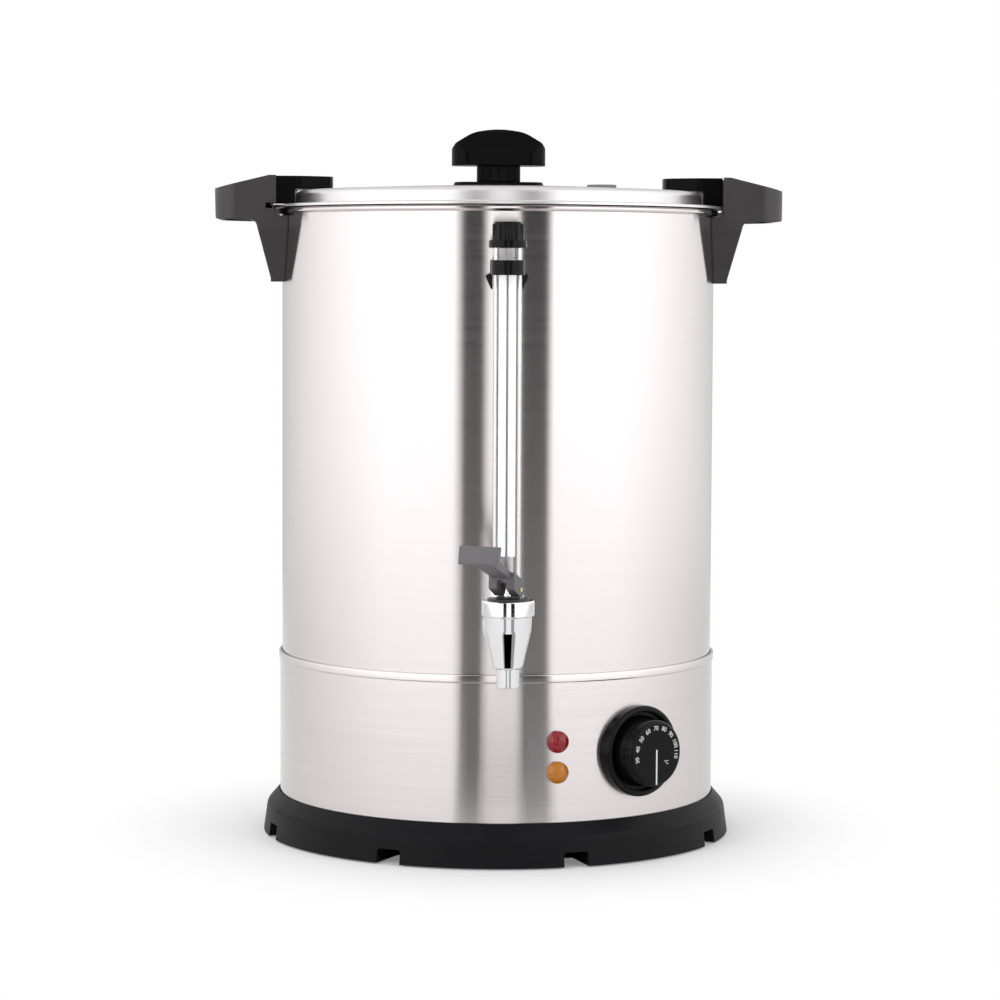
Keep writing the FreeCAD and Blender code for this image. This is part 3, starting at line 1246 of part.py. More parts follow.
def make_knob_grip():
    """Knob: a bar with rounded ends and an arched top on a fluted stem."""
    body = new_body("knob_grip")
    half = "(knob_width / 2)"
    deep = "(knob_depth / 2)"
    plan = box_corners(f"-{half}", half, f"-{deep}", deep, "knob_depth / 2 - 2")
    raised(body, outline(body, "XY_Plane", plan, offset="knob_bottom"), "knob_top - knob_bottom")
    arch = [
        (f"-{half} - 5", "knob_top + 5"),
        (f"-{half} - 5", "knob_side_top - 2"),
        (f"-{half}", "knob_side_top - 2"),
        (f"-{half} + 2.5", "knob_side_top + 1.8", "4"),
        ("-knob_crown / 2", "knob_top - 2.4", "24"),
        ("0", "knob_top + 0.6", "60"),
        ("knob_crown / 2", "knob_top - 2.4", "24"),
        (f"{half} - 2.5", "knob_side_top + 1.8", "4"),
        (half, "knob_side_top - 2"),
        (f"{half} + 5", "knob_side_top - 2"),
        (f"{half} + 5", "knob_top + 5"),
    ]
    sunk(body, outline(body, "XZ_Plane", arch), "knob_depth + 2", both_ways=True)
    roof = [
        (f"-{deep} - 5", "knob_top + 5"),
        (f"-{deep} - 5", "knob_band_top"),
        (f"-{deep}", "knob_band_top", "3"),
        ("-knob_ridge", "knob_top + 0.4", "6"),
        ("knob_ridge", "knob_top + 0.4", "6"),
        (deep, "knob_band_top", "3"),
        (f"{deep} + 5", "knob_band_top"),
        (f"{deep} + 5", "knob_top + 5"),
    ]
    sunk(body, outline(body, "YZ_Plane", roof), "knob_width + 2", both_ways=True)
    foot = f"({LID_TOP} + knob_plate_height)"
    wide = "(knob_stem_width / 2)"
    stem_deep = "(knob_stem_depth / 2)"
    stem = [
        (f"-{wide}", f"-{stem_deep}", "4"),
        (f"-{wide} / 3", f"-{stem_deep}", "2"),
        ("0", f"-{stem_deep} + knob_flute", "2"),
        (f"{wide} / 3", f"-{stem_deep}", "2"),
        (wide, f"-{stem_deep}", "4"),
        (wide, stem_deep, "4"),
        (f"{wide} / 3", stem_deep, "2"),
        ("0", f"{stem_deep} - knob_flute", "2"),
        (f"-{wide} / 3", stem_deep, "2"),
        (f"-{wide}", stem_deep, "4"),
    ]
    raised(body, outline(body, "XY_Plane", stem, offset=foot), f"knob_bottom - {foot} + 1")
    hole = circles(body, "XY_Plane", [("0", "0", "small_screw_radius")], offset=foot)
    sunk(body, hole, "10", forwards=True)
    return body


def make_knob_screw():
    """Screw from under the lid into the knob."""
    body = new_body("knob_screw")
    seat = f"({LID_TOP} - lid_wall)"
    head = circles(body, "XY_Plane", [("0", "0", "small_head_radius + 1.2")], offset=seat)
    raised(body, head, "small_head_height", backwards=True)
    shank = circles(body, "XY_Plane", [("0", "0", "small_screw_radius")], offset=seat)
    raised(body, shank, "lid_wall + knob_plate_height + 9")
    return body


def make_vent_cap():
    """Cap over the steam vent, clipped into the lid."""
    body = new_body("vent_cap")
    spot_across = "vent_offset"
    bottom = f"({LID_TOP} - lid_wall)"
    cap = circles(body, "XY_Plane", [(spot_across, "0", "vent_radius")], offset=LID_TOP)
    raised(body, cap, "vent_height")
    neck = circles(body, "XY_Plane", [(spot_across, "0", "vent_neck_radius")], offset=f"{bottom} - 2")
    raised(body, neck, "lid_wall + 2")
    clip = circles(body, "XY_Plane", [(spot_across, "0", "vent_neck_radius + 1")], offset=f"{bottom} - 0.3")
    raised(body, clip, "1.7", backwards=True)
    return body


# Tap and gauge


def make_tap_body():
    """Tap body: collar, tapering barrel, spout, shank into the tank and the gauge's socket."""
    body = new_body("tap_body", along="-(shell_radius + tap_reach)")
    collar_foot = "(collar_top - collar_height)"
    barrel = [
        ("0", "spout_tip"),
        ("spout_radius", "spout_tip", "0.8"),
        ("spout_radius", "spout_top", "0.8"),
        ("cone_foot_radius", "spout_top + 0.6", "0.8"),
        ("cone_radius", f"{collar_foot} - 9", "14"),
        ("cone_radius + 0.4", collar_foot),
        ("collar_radius", f"{collar_foot} + 0.8", "0.6"),
        ("collar_radius", "collar_top", "1.2"),
        ("0", "collar_top"),
    ]
    turned(body, outline(body, "XZ_Plane", barrel))
    shank = circles(body, "XZ_Plane", [("0", "shank_height", "shank_radius")])
    raised(body, shank, "tap_reach + sheet_wall + shank_inside", backwards=True)
    flange_face = "(tap_reach - washer_wall)"
    flange = circles(body, "XZ_Plane", [("0", "shank_height", "tap_flange_radius")], offset=f"-{flange_face}")
    raised(body, flange, "tap_flange_wall")
    socket = circles(
        body,
        "XY_Plane",
        [("0", GAUGE_BACK, "gauge_radius + socket_wall")],
        offset="shank_height",
    )
    raised(body, socket, "socket_top - shank_height")
    tube_hole = circles(body, "XY_Plane", [("0", GAUGE_BACK, "gauge_radius + seat_gap")], offset="socket_seat")
    sunk(body, tube_hole, "socket_top - socket_seat + 1", forwards=True)
    drop = circles(body, "XY_Plane", [("0", GAUGE_BACK, "shank_bore - 1")], offset="socket_seat + 1")
    sunk(body, drop, "socket_seat + 1 - shank_height")
    chamber = circles(body, "XY_Plane", [("0", "0", "chamber_radius")], offset="valve_seat_height")
    sunk(body, chamber, "collar_top - valve_seat_height + 1", forwards=True)
    outlet = circles(body, "XY_Plane", [("0", "0", "spout_bore")], offset="valve_seat_height + 1")
    sunk(body, outlet, "valve_seat_height + 2 - spout_tip")
    inlet = circles(body, "XZ_Plane", [("0", "shank_height", "shank_bore")])
    sunk(body, inlet, "tap_reach + sheet_wall + shank_inside + 1")
    return body


def make_tap_washer(label, front):
    """Flat washer on the tap's shank."""
    body = new_body(label, along="-(shell_radius + tap_reach)")
    rings = [
        ("0", "shank_height", "tap_flange_radius - 0.5"),
        ("0", "shank_height", "shank_radius + seat_gap"),
    ]
    raised(body, circles(body, "XZ_Plane", rings, offset=f"-({front} + washer_wall)"), "washer_wall")
    return body


def make_tap_nut():
    """Nut on the tap's shank inside the tank."""
    body = new_body("tap_nut", along="-(shell_radius + tap_reach)")
    rings = [
        ("0", "shank_height", "tap_flange_radius - 2"),
        ("0", "shank_height", "shank_radius + seat_gap / 2"),
    ]
    front = "(tap_reach + sheet_wall + 0.9 + washer_wall)"
    raised(body, circles(body, "XZ_Plane", rings, offset=f"-({front} + 6)"), "6")
    return body


def make_bonnet():
    """Bonnet in the top of the tap, bored for the stem."""
    body = new_body("bonnet", along="-(shell_radius + tap_reach)")
    bore = "(stem_radius + shaft_gap)"
    section = [
        (bore, PLUG_FOOT),
        ("chamber_radius - seat_gap", PLUG_FOOT),
        ("chamber_radius - seat_gap", "collar_top"),
        ("bonnet_radius", "collar_top"),
        ("bonnet_radius", BONNET_TOP, "0.5"),
        (bore, BONNET_TOP),
    ]
    turned(body, outline(body, "XZ_Plane", section))
    return body


def make_thrust_washer():
    """Washer round the stem on the bonnet, under the lever's heel."""
    body = new_body("thrust_washer", along="-(shell_radius + tap_reach)")
    rings = [("0", "0", "thrust_radius"), ("0", "0", "stem_radius + shaft_gap")]
    raised(body, circles(body, "XY_Plane", rings, offset=f"{BONNET_TOP} + run_gap"), "thrust_wall")
    return body


def make_valve_stem():
    """Valve stem with an eye for the lever's pin."""
    body = new_body("valve_stem", along="-(shell_radius + tap_reach)")
    body.setExpression("Placement.Rotation.Angle", link("lever_swing * 1deg"))
    rod = circles(body, "XY_Plane", [("0", "0", "stem_radius")], offset=f"{CUP_TOP} - 3")
    raised(body, rod, f"{PIN_HEIGHT} + stem_radius + 1 - {CUP_TOP} + 3")
    eye = circles(body, "YZ_Plane", [("0", PIN_HEIGHT, "pin_radius + shaft_gap")])
    sunk(body, eye, "stem_radius * 2 + 2", both_ways=True)
    return body


def make_seat_cup():
    """Rubber cup on the lower end of the stem, which closes the outlet."""
    body = new_body("seat_cup", along="-(shell_radius + tap_reach)")
    section = [
        ("0", CUP_FOOT),
        ("seat_cup_radius", CUP_FOOT, "1.5"),
        ("seat_cup_radius", CUP_TOP, "1"),
        ("stem_radius", CUP_TOP),
        ("stem_radius", f"{CUP_TOP} - 3"),
        ("0", f"{CUP_TOP} - 3"),
    ]
    turned(body, outline(body, "XZ_Plane", section))
    return body


def make_valve_spring():
    """Coil spring between the seat cup and the bonnet."""
    node = doc.addObject("Part::Feature", "valve_spring")
    node.Label = "valve_spring"
    wire = measure("spring_wire")
    foot = measure(f"{CUP_TOP} + run_gap") + wire / 2
    height = measure(f"{PLUG_FOOT} - run_gap") - wire / 2 - foot
    radius = measure("spring_radius")
    helix = Part.makeHelix(height / measure("spring_turns"), height, radius)
    start = FreeCAD.Vector(radius, 0, 0)
    tangent = FreeCAD.Vector(0, 2 * math.pi * radius, height / measure("spring_turns"))
    ring = Part.Wire(Part.makeCircle(wire / 2, start, tangent))
    node.Shape = Part.Wire(helix.Edges).makePipeShell([ring], True, True)
    across = FreeCAD.Vector(0, -measure("shell_radius + tap_reach"), foot)
    node.Placement = FreeCAD.Placement(across, FreeCAD.Rotation())
    return node


def make_lever():
    """Lever: a forked head on the pin, a rising arm and an upright paddle."""
    body = new_body("lever", along="-(shell_radius + tap_reach)")
    body.setExpression("Placement.Rotation.Angle", link("lever_swing * 1deg"))
    heel = f"({PIN_HEIGHT} - cheek_drop)"
    crown = f"({PIN_HEIGHT} + cheek_top)"
    front = "(lever_length - paddle_wall / 2)"
    head = [
        ("-heel_front", heel),
        ("cheek_back", heel, "3.5"),
        ("cheek_back", f"{PIN_HEIGHT} + cheek_back_top", "2"),
        ("-cheek_front", crown, "1"),
        ("-cheek_front", f"{heel} + heel_slope * (cheek_front - heel_front)", "1"),
    ]
    raised(body, outline(body, "YZ_Plane", head), "cheek_half_width * 2", both_ways=True)
    arm = [
        ("-cheek_front + 1", f"{PIN_HEIGHT} + arm_foot"),
        ("-cheek_front + 1", f"{crown} - 0.6"),
        (f"-{front} - 1", "paddle_bottom + 2 + arm_wall"),
        (f"-{front} - 1", "paddle_bottom + 1"),
    ]
    raised(body, outline(body, "YZ_Plane", arm), "arm_half_width * 2", both_ways=True)
    paddle = [
        (f"-{front} - paddle_wall", "paddle_bottom", "1.2"),
        (f"-{front}", "paddle_bottom", "1.2"),
        (f"-{front} + paddle_lean", "paddle_top", "1.2"),
        (f"-{front} - paddle_wall + paddle_lean", "paddle_top", "1.2"),
    ]
    raised(body, outline(body, "YZ_Plane", paddle), "paddle_half_width * 2", both_ways=True)
    slot_half = "(stem_radius + run_gap)"
    roof = f"{PIN_HEIGHT} + fork_roof"
    fork = [
        (f"-{slot_half}", f"{heel} - 1"),
        (slot_half, f"{heel} - 1"),
        (slot_half, roof, "2.6"),
        (f"-{slot_half}", roof, "2.6"),
    ]
    sunk(body, outline(body, "XZ_Plane", fork), "cheek_front * 2 + 2", both_ways=True)
    eye = circles(body, "YZ_Plane", [("0", PIN_HEIGHT, "pin_radius")])
    sunk(body, eye, "cheek_half_width * 2 + 2", both_ways=True)
    return body


def make_lever_pin():
    """Brass pin through the lever's head and the stem's eye."""
    body = new_body("lever_pin", along="-(shell_radius + tap_reach)")
    body.setExpression("Placement.Rotation.Angle", link("lever_swing * 1deg"))
    rod = circles(body, "YZ_Plane", [("0", PIN_HEIGHT, "pin_radius")])
    raised(body, rod, "cheek_half_width * 2 + 0.8", both_ways=True)
    return body


def make_gauge_tube():
    """Clear tube of the sight gauge."""
    body = new_body("gauge_tube", along="-(shell_radius + gauge_reach)")
    rings = [("0", "0", "gauge_radius"), ("0", "0", "gauge_radius - gauge_wall")]
    foot = "(socket_seat + seat_gap + 2)"
    raised(body, circles(body, "XY_Plane", rings, offset=foot), f"gauge_cap_foot + gauge_cap_rim - cap_plug - seat_gap - {foot}")
    return body


def make_gauge_seal():
    """Rubber ring that the gauge tube stands on in its socket."""
    body = new_body("gauge_seal", along="-(shell_radius + gauge_reach)")
    rings = [("0", "0", "gauge_radius"), ("0", "0", "shank_bore")]
    raised(body, circles(body, "XY_Plane", rings, offset="socket_seat"), "2")
    return body


def make_gauge_cap():
    """Ribbed cap on the top of the gauge tube."""
    body = new_body("gauge_cap", along="-(shell_radius + gauge_reach)")
    bore = "(gauge_radius + seat_gap)"
    rim_top = "(gauge_cap_foot + gauge_cap_rim)"
    section = [
        (bore, "gauge_cap_foot"),
        ("gauge_cap_rim_radius", "gauge_cap_foot", "0.8"),
        ("gauge_cap_rim_radius", rim_top, "0.8"),
        ("gauge_cap_radius + cap_taper", rim_top),
        ("gauge_cap_radius", "gauge_cap_top", "1.2"),
        ("0", "gauge_cap_top"),
        ("0", f"{rim_top} - cap_plug"),
        (bore, f"{rim_top} - cap_plug"),
    ]
    turned(body, outline(body, "XZ_Plane", section))
    rib = circles(body, "XY_Plane", [("0", "-gauge_cap_radius", "cap_rib_radius")], offset=rim_top)
    around(body, [raised(body, rib, f"gauge_cap_top - {rim_top} - cap_rib_radius")], "cap_rib_count")
    return body


def make_gauge_bracket():
    """Bracket that holds the gauge tube to the tank, with a tapering fin on each side."""
    body = new_body("gauge_bracket", along="-(shell_radius + gauge_reach)")
    outer = "(gauge_radius + seat_gap + bracket_wall)"
    ring = circles(body, "XY_Plane", [("0", "0", outer)], offset="bracket_foot")
    raised(body, ring, "bracket_height")
    half = "bracket_half_width"
    inside = "(gauge_radius + seat_gap)"
    top = "(bracket_foot + bracket_height)"
    plate = [
        (f"-{inside}", "bracket_foot"),
        (f"-{inside}", "bracket_foot - bracket_fin_drop"),
        (f"-{inside} - 1", "bracket_foot - bracket_fin_drop"),
        (f"-{half}", "bracket_foot - 0.5"),
        (f"-{outer}", "bracket_foot + 1.5"),
        (f"-{outer}", top),
        (outer, top),
        (outer, "bracket_foot + 1.5"),
        (half, "bracket_foot - 0.5"),
        (f"{inside} + 1", "bracket_foot - bracket_fin_drop"),
        (inside, "bracket_foot - bracket_fin_drop"),
        (inside, "bracket_foot"),
    ]
    back = "(gauge_reach - 2.6)"
    raised(body, outline(body, "XZ_Plane", plate, offset=f"-{back} - 2.6"), "2.6")
    web = box_corners("-6", "6", "bracket_foot", top)
    raised(body, outline(body, "XZ_Plane", web, offset=f"-{back} - 0.5"), f"{back} + 0.5 - gauge_radius")
    bore = circles(body, "XY_Plane", [("0", "0", "gauge_radius + seat_gap")], offset="bracket_foot - 1")
    sunk(body, bore, "bracket_height + 2", forwards=True)
    wall = circles(
        body,
        "XY_Plane",
        [("0", "shell_radius + gauge_reach", "shell_radius + seat_gap")],
        offset="bracket_foot - bracket_fin_drop - 1",
    )
    sunk(body, wall, "bracket_height + bracket_fin_drop + 2", forwards=True)
    return body


nodes = [
    make_base_ring(),
    make_bottom_pan(),
    make_foot_ring(),
    make_pan_screws(),
    make_housing_ring(),
    make_tie_studs(),
    make_stud_nuts(),
    make_tank_wall(),
    make_tank_floor(),
    make_heat_spreader(),
    make_heating_element(),
    make_element_clamps(),
    make_boil_dry_cutout(),
    make_reset_button(),
    make_thermostat_body(),
    make_thermostat_bulb(),
    make_terminal_block(),
    make_cable_gland(),
    make_gland_nut(),
    make_lamp_lens("lamp_lens_red", "lamp_red_height"),
    make_lamp_lens("lamp_lens_amber", "lamp_amber_height"),
    make_lamp_body("lamp_body_red", "lamp_red_height"),
    make_lamp_body("lamp_body_amber", "lamp_amber_height"),
    make_lamp_nuts(),
    make_dial_bezel(),
    make_dial_knob(),
    make_dial_shaft(),
    make_handle("handle_right", "0"),
    make_handle("handle_left", "180"),
    make_handle_plates(),
    make_handle_screws(),
    make_lid_pan(),
    make_lid_gasket(),
    make_lug("lug_right", "0"),
    make_lug("lug_left", "180"),
    make_knob_plate(),
    make_knob_grip(),
    make_knob_screw(),
    make_vent_cap(),
    make_tap_body(),
    make_tap_washer("tap_washer_outer", "(tap_reach - washer_wall)"),
    make_tap_washer("tap_washer_inner", "(tap_reach + sheet_wall + 0.8)"),
    make_tap_nut(),
    make_bonnet(),
    make_thrust_washer(),
    make_valve_stem(),
    make_seat_cup(),
    make_valve_spring(),
    make_lever(),
    make_lever_pin(),
    make_gauge_tube(),
    make_gauge_seal(),
    make_gauge_cap(),
    make_gauge_bracket(),
]

doc.recompute()

for thing in doc.Objects:
    if "Invalid" in thing.State or "Error" in thing.State:
        raise RuntimeError(f"{thing.Label} failed: {thing.State}")

os.makedirs("parts", exist_ok=True)
for node in nodes:
    if node.Shape.isNull() or not node.Shape.isValid():
        raise RuntimeError(f"{node.Label} has no valid shape")
    node.Shape.exportStep(f"parts/{node.Label}.step")
    print(f"{node.Label:20s} {len(node.Shape.Solids):3d} solids {node.Shape.Volume / 1000:10.2f} cm3")
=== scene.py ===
"""Studio scene of a stainless hot water urn with its tap, sight gauge, dial and lamps."""

import logging
import math
from dataclasses import dataclass
from enum import Enum
from typing import ClassVar

import bmesh
import bpy
from mathutils import Matrix, Vector


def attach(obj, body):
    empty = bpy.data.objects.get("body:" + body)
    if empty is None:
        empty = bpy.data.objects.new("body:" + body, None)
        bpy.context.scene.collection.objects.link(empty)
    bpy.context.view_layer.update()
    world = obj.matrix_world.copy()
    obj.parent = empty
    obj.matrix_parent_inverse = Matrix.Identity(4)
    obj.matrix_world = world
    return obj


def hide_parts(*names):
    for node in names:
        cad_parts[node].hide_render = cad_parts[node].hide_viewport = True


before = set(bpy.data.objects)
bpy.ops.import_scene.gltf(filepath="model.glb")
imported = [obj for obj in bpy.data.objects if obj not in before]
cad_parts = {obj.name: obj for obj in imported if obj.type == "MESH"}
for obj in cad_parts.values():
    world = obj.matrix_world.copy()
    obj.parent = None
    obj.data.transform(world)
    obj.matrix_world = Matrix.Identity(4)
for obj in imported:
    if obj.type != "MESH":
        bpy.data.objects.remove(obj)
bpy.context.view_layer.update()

log = logging.getLogger("urn")

MM = 0.001
UP = Vector((0.0, 0.0, 1.0))
ORIGIN = (0.0, 0.0, 0.0)
EVEN = (1.0, 1.0, 1.0)
MERGE_DISTANCE = 1e-6
ROUND_STEPS = 256
CORNER_STEPS = 5
BLOCK_EDGE_STEPS = 3
Colour = tuple[float, float, float]
Spot = tuple[float, float, float]


class Shading(Enum):
    """How a piece's faces meet: softly everywhere, or with crisp edges past an angle."""

    SOFT = 180.0
    CRISP = 32.0


@dataclass(frozen=True)
class Corner:
    """A corner of an outline: distance out, height and rounding, in millimetres."""

    out: float
    height: float
    rounding: float = 0.0


# Mesh making


def finish_mesh(shape: bmesh.types.BMesh, name: str, shading: Shading = Shading.CRISP) -> bpy.types.Object:
    """Turns a bmesh into an object of the scene.

    Args:
        shape: The mesh, in metres in the urn's frame.
        name: The object's name.
        shading: How its faces meet.

    Returns:
        The new object, at the origin.
    """
    bmesh.ops.remove_doubles(shape, verts=shape.verts, dist=MERGE_DISTANCE)
    bmesh.ops.recalc_face_normals(shape, faces=shape.faces)
    mesh = bpy.data.meshes.new(name)
    shape.to_mesh(mesh)
    shape.free()
    mesh.shade_smooth()
    if shading is not Shading.SOFT:
        mesh.set_sharp_from_angle(angle=math.radians(shading.value))
    piece = bpy.data.objects.new(name, mesh)
    bpy.context.scene.collection.objects.link(piece)
    return piece


def round_corners(shape: bmesh.types.BMesh, corners: list[Corner], verts: list[bmesh.types.BMVert]) -> None:
    """Rounds the corners of a wire outline, each with its own radius.

    Args:
        shape: The bmesh that holds the outline.
        corners: The outline's corners.
        verts: Their vertices, in the same order.
    """
    count = len(corners)
    spots = [vert.co.copy() for vert in verts]
    for n, corner in enumerate(corners):
        if corner.rounding == 0.0:
            continue
        before = (spots[n - 1] - spots[n]).normalized()
        after = (spots[(n + 1) % count] - spots[n]).normalized()
        reach = corner.rounding * MM / math.tan(before.angle(after) / 2)
        bmesh.ops.bevel(
            shape,
            geom=[verts[n]],
            offset=reach,
            offset_type="OFFSET",
            segments=CORNER_STEPS,
            profile=0.5,
            affect="VERTICES",
            material=-1,
        )


def turned_shape(corners: list[Corner]) -> bmesh.types.BMesh:
    """Turns a closed outline about the urn's upright axis.

    Args:
        corners: The outline, out from the axis and up.

    Returns:
        The turned mesh.
    """
    shape = bmesh.new()
    verts = [shape.verts.new((c.out * MM, 0.0, c.height * MM)) for c in corners]
    for n, vert in enumerate(verts):
        shape.edges.new((verts[n - 1], vert))
    round_corners(shape, corners, verts)
    bmesh.ops.spin(
        shape,
        geom=[*shape.verts, *shape.edges],
        cent=ORIGIN,
        axis=UP,
        dvec=ORIGIN,
        angle=math.tau,
        steps=ROUND_STEPS,
        use_merge=True,
    )
    return shape


def block(
    shape: bmesh.types.BMesh,
    size: tuple[float, float, float],
    place: Matrix,
    rounding: float = 0.0,
) -> None:
    """Adds a block with rounded edges.

    Args:
        shape: The bmesh it is added to.
        size: Its sides in millimetres.
        place: Where its centre goes, in metres.
        rounding: The rounding of its edges, in millimetres.
    """
    made = bmesh.ops.create_cube(shape, size=1.0)["verts"]
    bmesh.ops.scale(shape, verts=made, vec=Vector(size) * MM)
    if rounding:
        edges = {edge for vert in made for edge in vert.link_edges}
        made = bmesh.ops.bevel(
            shape,
            geom=list(edges),
            offset=rounding * MM,
            offset_type="OFFSET",
            segments=BLOCK_EDGE_STEPS,
            profile=0.5,
            affect="EDGES",
            material=-1,
        )["verts"] + [vert for vert in made if vert.is_valid]
    bmesh.ops.transform(shape, matrix=place, verts=list(set(made)))


def radial_place(turn: float, distance: float, height: float) -> Matrix:
    """A place on the urn's side, its own Z pointing out and its Y pointing up.

    Args:
        turn: Degrees from the front, towards +X.
        distance: Millimetres from the axis.
        height: Millimetres over the floor.

    Returns:
        The place in metres.
    """
    angle = math.radians(turn)
    out = Vector((math.sin(angle), -math.cos(angle), 0.0))
    across = Vector((math.cos(angle), math.sin(angle), 0.0))
    turned = Matrix((across, UP, out)).transposed().to_4x4()
    return Matrix.Translation(out * distance * MM + UP * height * MM) @ turned


# Shader groups


def new_group(name: str, inputs: dict[str, float], outputs: dict[str, str]) -> bpy.types.ShaderNodeTree:
    """An empty shader group with its sockets.

    Args:
        name: The group's name.
        inputs: Names and starting values of its number inputs.
        outputs: Names and socket types of its outputs.

    Returns:
        The group's node tree, with its input and output nodes in place.
    """
    tree = bpy.data.node_groups.new(name, "ShaderNodeTree")
    for label, start in inputs.items():
        socket = tree.interface.new_socket(name=label, in_out="INPUT", socket_type="NodeSocketFloat")
        socket.default_value = start
    for label, kind in outputs.items():
        tree.interface.new_socket(name=label, in_out="OUTPUT", socket_type=kind)
    tree.nodes.new("NodeGroupInput")
    tree.nodes.new("NodeGroupOutput")
    return tree


class Wiring:
    """Adds and joins the nodes of one node tree."""

    def __init__(self, tree: bpy.types.NodeTree) -> None:
        """Takes the tree to work in."""
        self.tree = tree

    def add(self, kind: str, **settings: object) -> bpy.types.Node:
        """Adds a node.

        Args:
            kind: The node's type.
            settings: Values of its own properties.

        Returns:
            The node.
        """
        node = self.tree.nodes.new(kind)
        for key, setting in settings.items():
            setattr(node, key, setting)
        return node

    def join(self, source: bpy.types.NodeSocket, target: bpy.types.NodeSocket) -> None:
        """Links an output to an input."""
        self.tree.links.new(source, target)

    def work_out(
        self, operation: str, first: object, second: object = 0.0, third: object = 0.0
    ) -> bpy.types.NodeSocket:
        """Adds a Math node.

        Args:
            operation: What it does.
            first: A socket or a number.
            second: A socket or a number.
            third: A socket or a number.

        Returns:
            Its output.
        """
        node = self.add("ShaderNodeMath", operation=operation)
        for slot, given in zip(node.inputs, (first, second, third)):
            if isinstance(given, bpy.types.NodeSocket):
                self.join(given, slot)
            else:
                slot.default_value = given
        return node.outputs[0]

    def place(self, stretch: tuple[float, float, float]) -> bpy.types.NodeSocket:
        """Object coordinates, multiplied along each axis."""
        spot = self.add("ShaderNodeTexCoord")
        mapping = self.add("ShaderNodeMapping")
        mapping.inputs["Scale"].default_value = stretch
        self.join(spot.outputs["Object"], mapping.inputs["Vector"])
        return mapping.outputs["Vector"]

    def noise(self, where: bpy.types.NodeSocket, scale: object, detail: float = 4.0) -> bpy.types.NodeSocket:
        """Adds a noise.

        Args:
            where: Its coordinates.
            scale: A number or a socket.
            detail: How many finer layers it has.

        Returns:
            A number around one half.
        """
        node = self.add("ShaderNodeTexNoise")
        node.inputs["Detail"].default_value = detail
        if isinstance(scale, bpy.types.NodeSocket):
            self.join(scale, node.inputs["Scale"])
        else:
            node.inputs["Scale"].default_value = scale
        self.join(where, node.inputs["Vector"])
        return node.outputs["Fac"]


class Effects:
    """The shader groups that several finishes share.

    The brushed lines are noises stretched along x, y and z, and everything else is a noise of even size.
    """

    fine_lines: tuple[float, float, float] = (9.0, 9.0, 2600.0)
    broad_lines: tuple[float, float, float] = (3.0, 3.0, 420.0)
    fine_share: float = 0.6
    rubbed_size: float = 35.0

    def __init__(self) -> None:
        """Builds each group once."""
        self.handling = self.build_handling()
        self.brushing = self.build_brushing()
        self.moulding = self.build_moulding()

    def build_handling(self) -> bpy.types.ShaderNodeTree:
        """Faint wiping marks: a shade of the colour and a change of roughness."""
        tree = new_group(
            "handling_marks",
            {"Size": 12.0, "Shade": 0.05, "Roughness": 0.3, "Spread": 0.1},
            {"Shade": "NodeSocketFloat", "Roughness": "NodeSocketFloat"},
        )
        wires = Wiring(tree)
        given = tree.nodes["Group Input"].outputs
        made = tree.nodes["Group Output"].inputs
        cloud = wires.noise(wires.place(EVEN), given["Size"], 5.0)
        centred = wires.work_out("SUBTRACT", cloud, 0.5)
        wires.join(wires.work_out("MULTIPLY_ADD", centred, given["Shade"], 1.0), made["Shade"])
        roughness = wires.work_out("MULTIPLY_ADD", centred, given["Spread"], given["Roughness"])
        wires.join(roughness, made["Roughness"])
        return tree

    def build_brushing(self) -> bpy.types.ShaderNodeTree:
        """Fine lines round the upright axis: a height, a shade and a streaked roughness."""
        tree = new_group(
            "brushed_lines",
            {"Roughness": 0.3, "Spread": 0.12, "Shade": 0.08},
            {"Height": "NodeSocketFloat", "Shade": "NodeSocketFloat", "Roughness": "NodeSocketFloat"},
        )
        wires = Wiring(tree)
        given = tree.nodes["Group Input"].outputs
        made = tree.nodes["Group Output"].inputs
        fine = wires.noise(wires.place(self.fine_lines), 1.0, 3.0)
        broad = wires.noise(wires.place(self.broad_lines), 1.0, 4.0)
        fine_part = wires.work_out("MULTIPLY", fine, self.fine_share)
        both = wires.work_out("MULTIPLY_ADD", broad, 1.0 - self.fine_share, fine_part)
        centred = wires.work_out("SUBTRACT", both, 0.5)
        wires.join(both, made["Height"])
        wires.join(wires.work_out("MULTIPLY_ADD", centred, given["Shade"], 1.0), made["Shade"])
        roughness = wires.work_out("MULTIPLY_ADD", centred, given["Spread"], given["Roughness"])
        wires.join(roughness, made["Roughness"])
        return tree

    def build_moulding(self) -> bpy.types.ShaderNodeTree:
        """Spark-eroded grain of moulded plastic, worn smoother where hands rub it."""
        tree = new_group(
            "moulded_grain",
            {"Grain": 900.0, "Roughness": 0.45, "Spread": 0.15, "Shade": 0.2},
            {"Height": "NodeSocketFloat", "Shade": "NodeSocketFloat", "Roughness": "NodeSocketFloat"},
        )
        wires = Wiring(tree)
        given = tree.nodes["Group Input"].outputs
        made = tree.nodes["Group Output"].inputs
        where = wires.place(EVEN)
        grain = wires.noise(where, given["Grain"], 2.0)
        rubbed = wires.work_out("SUBTRACT", wires.noise(where, self.rubbed_size, 5.0), 0.5)
        wires.join(grain, made["Height"])
        wires.join(wires.work_out("MULTIPLY_ADD", rubbed, given["Shade"], 1.0), made["Shade"])
        roughness = wires.work_out("MULTIPLY_ADD", rubbed, given["Spread"], given["Roughness"])
        wires.join(roughness, made["Roughness"])
        return tree


# Finishes


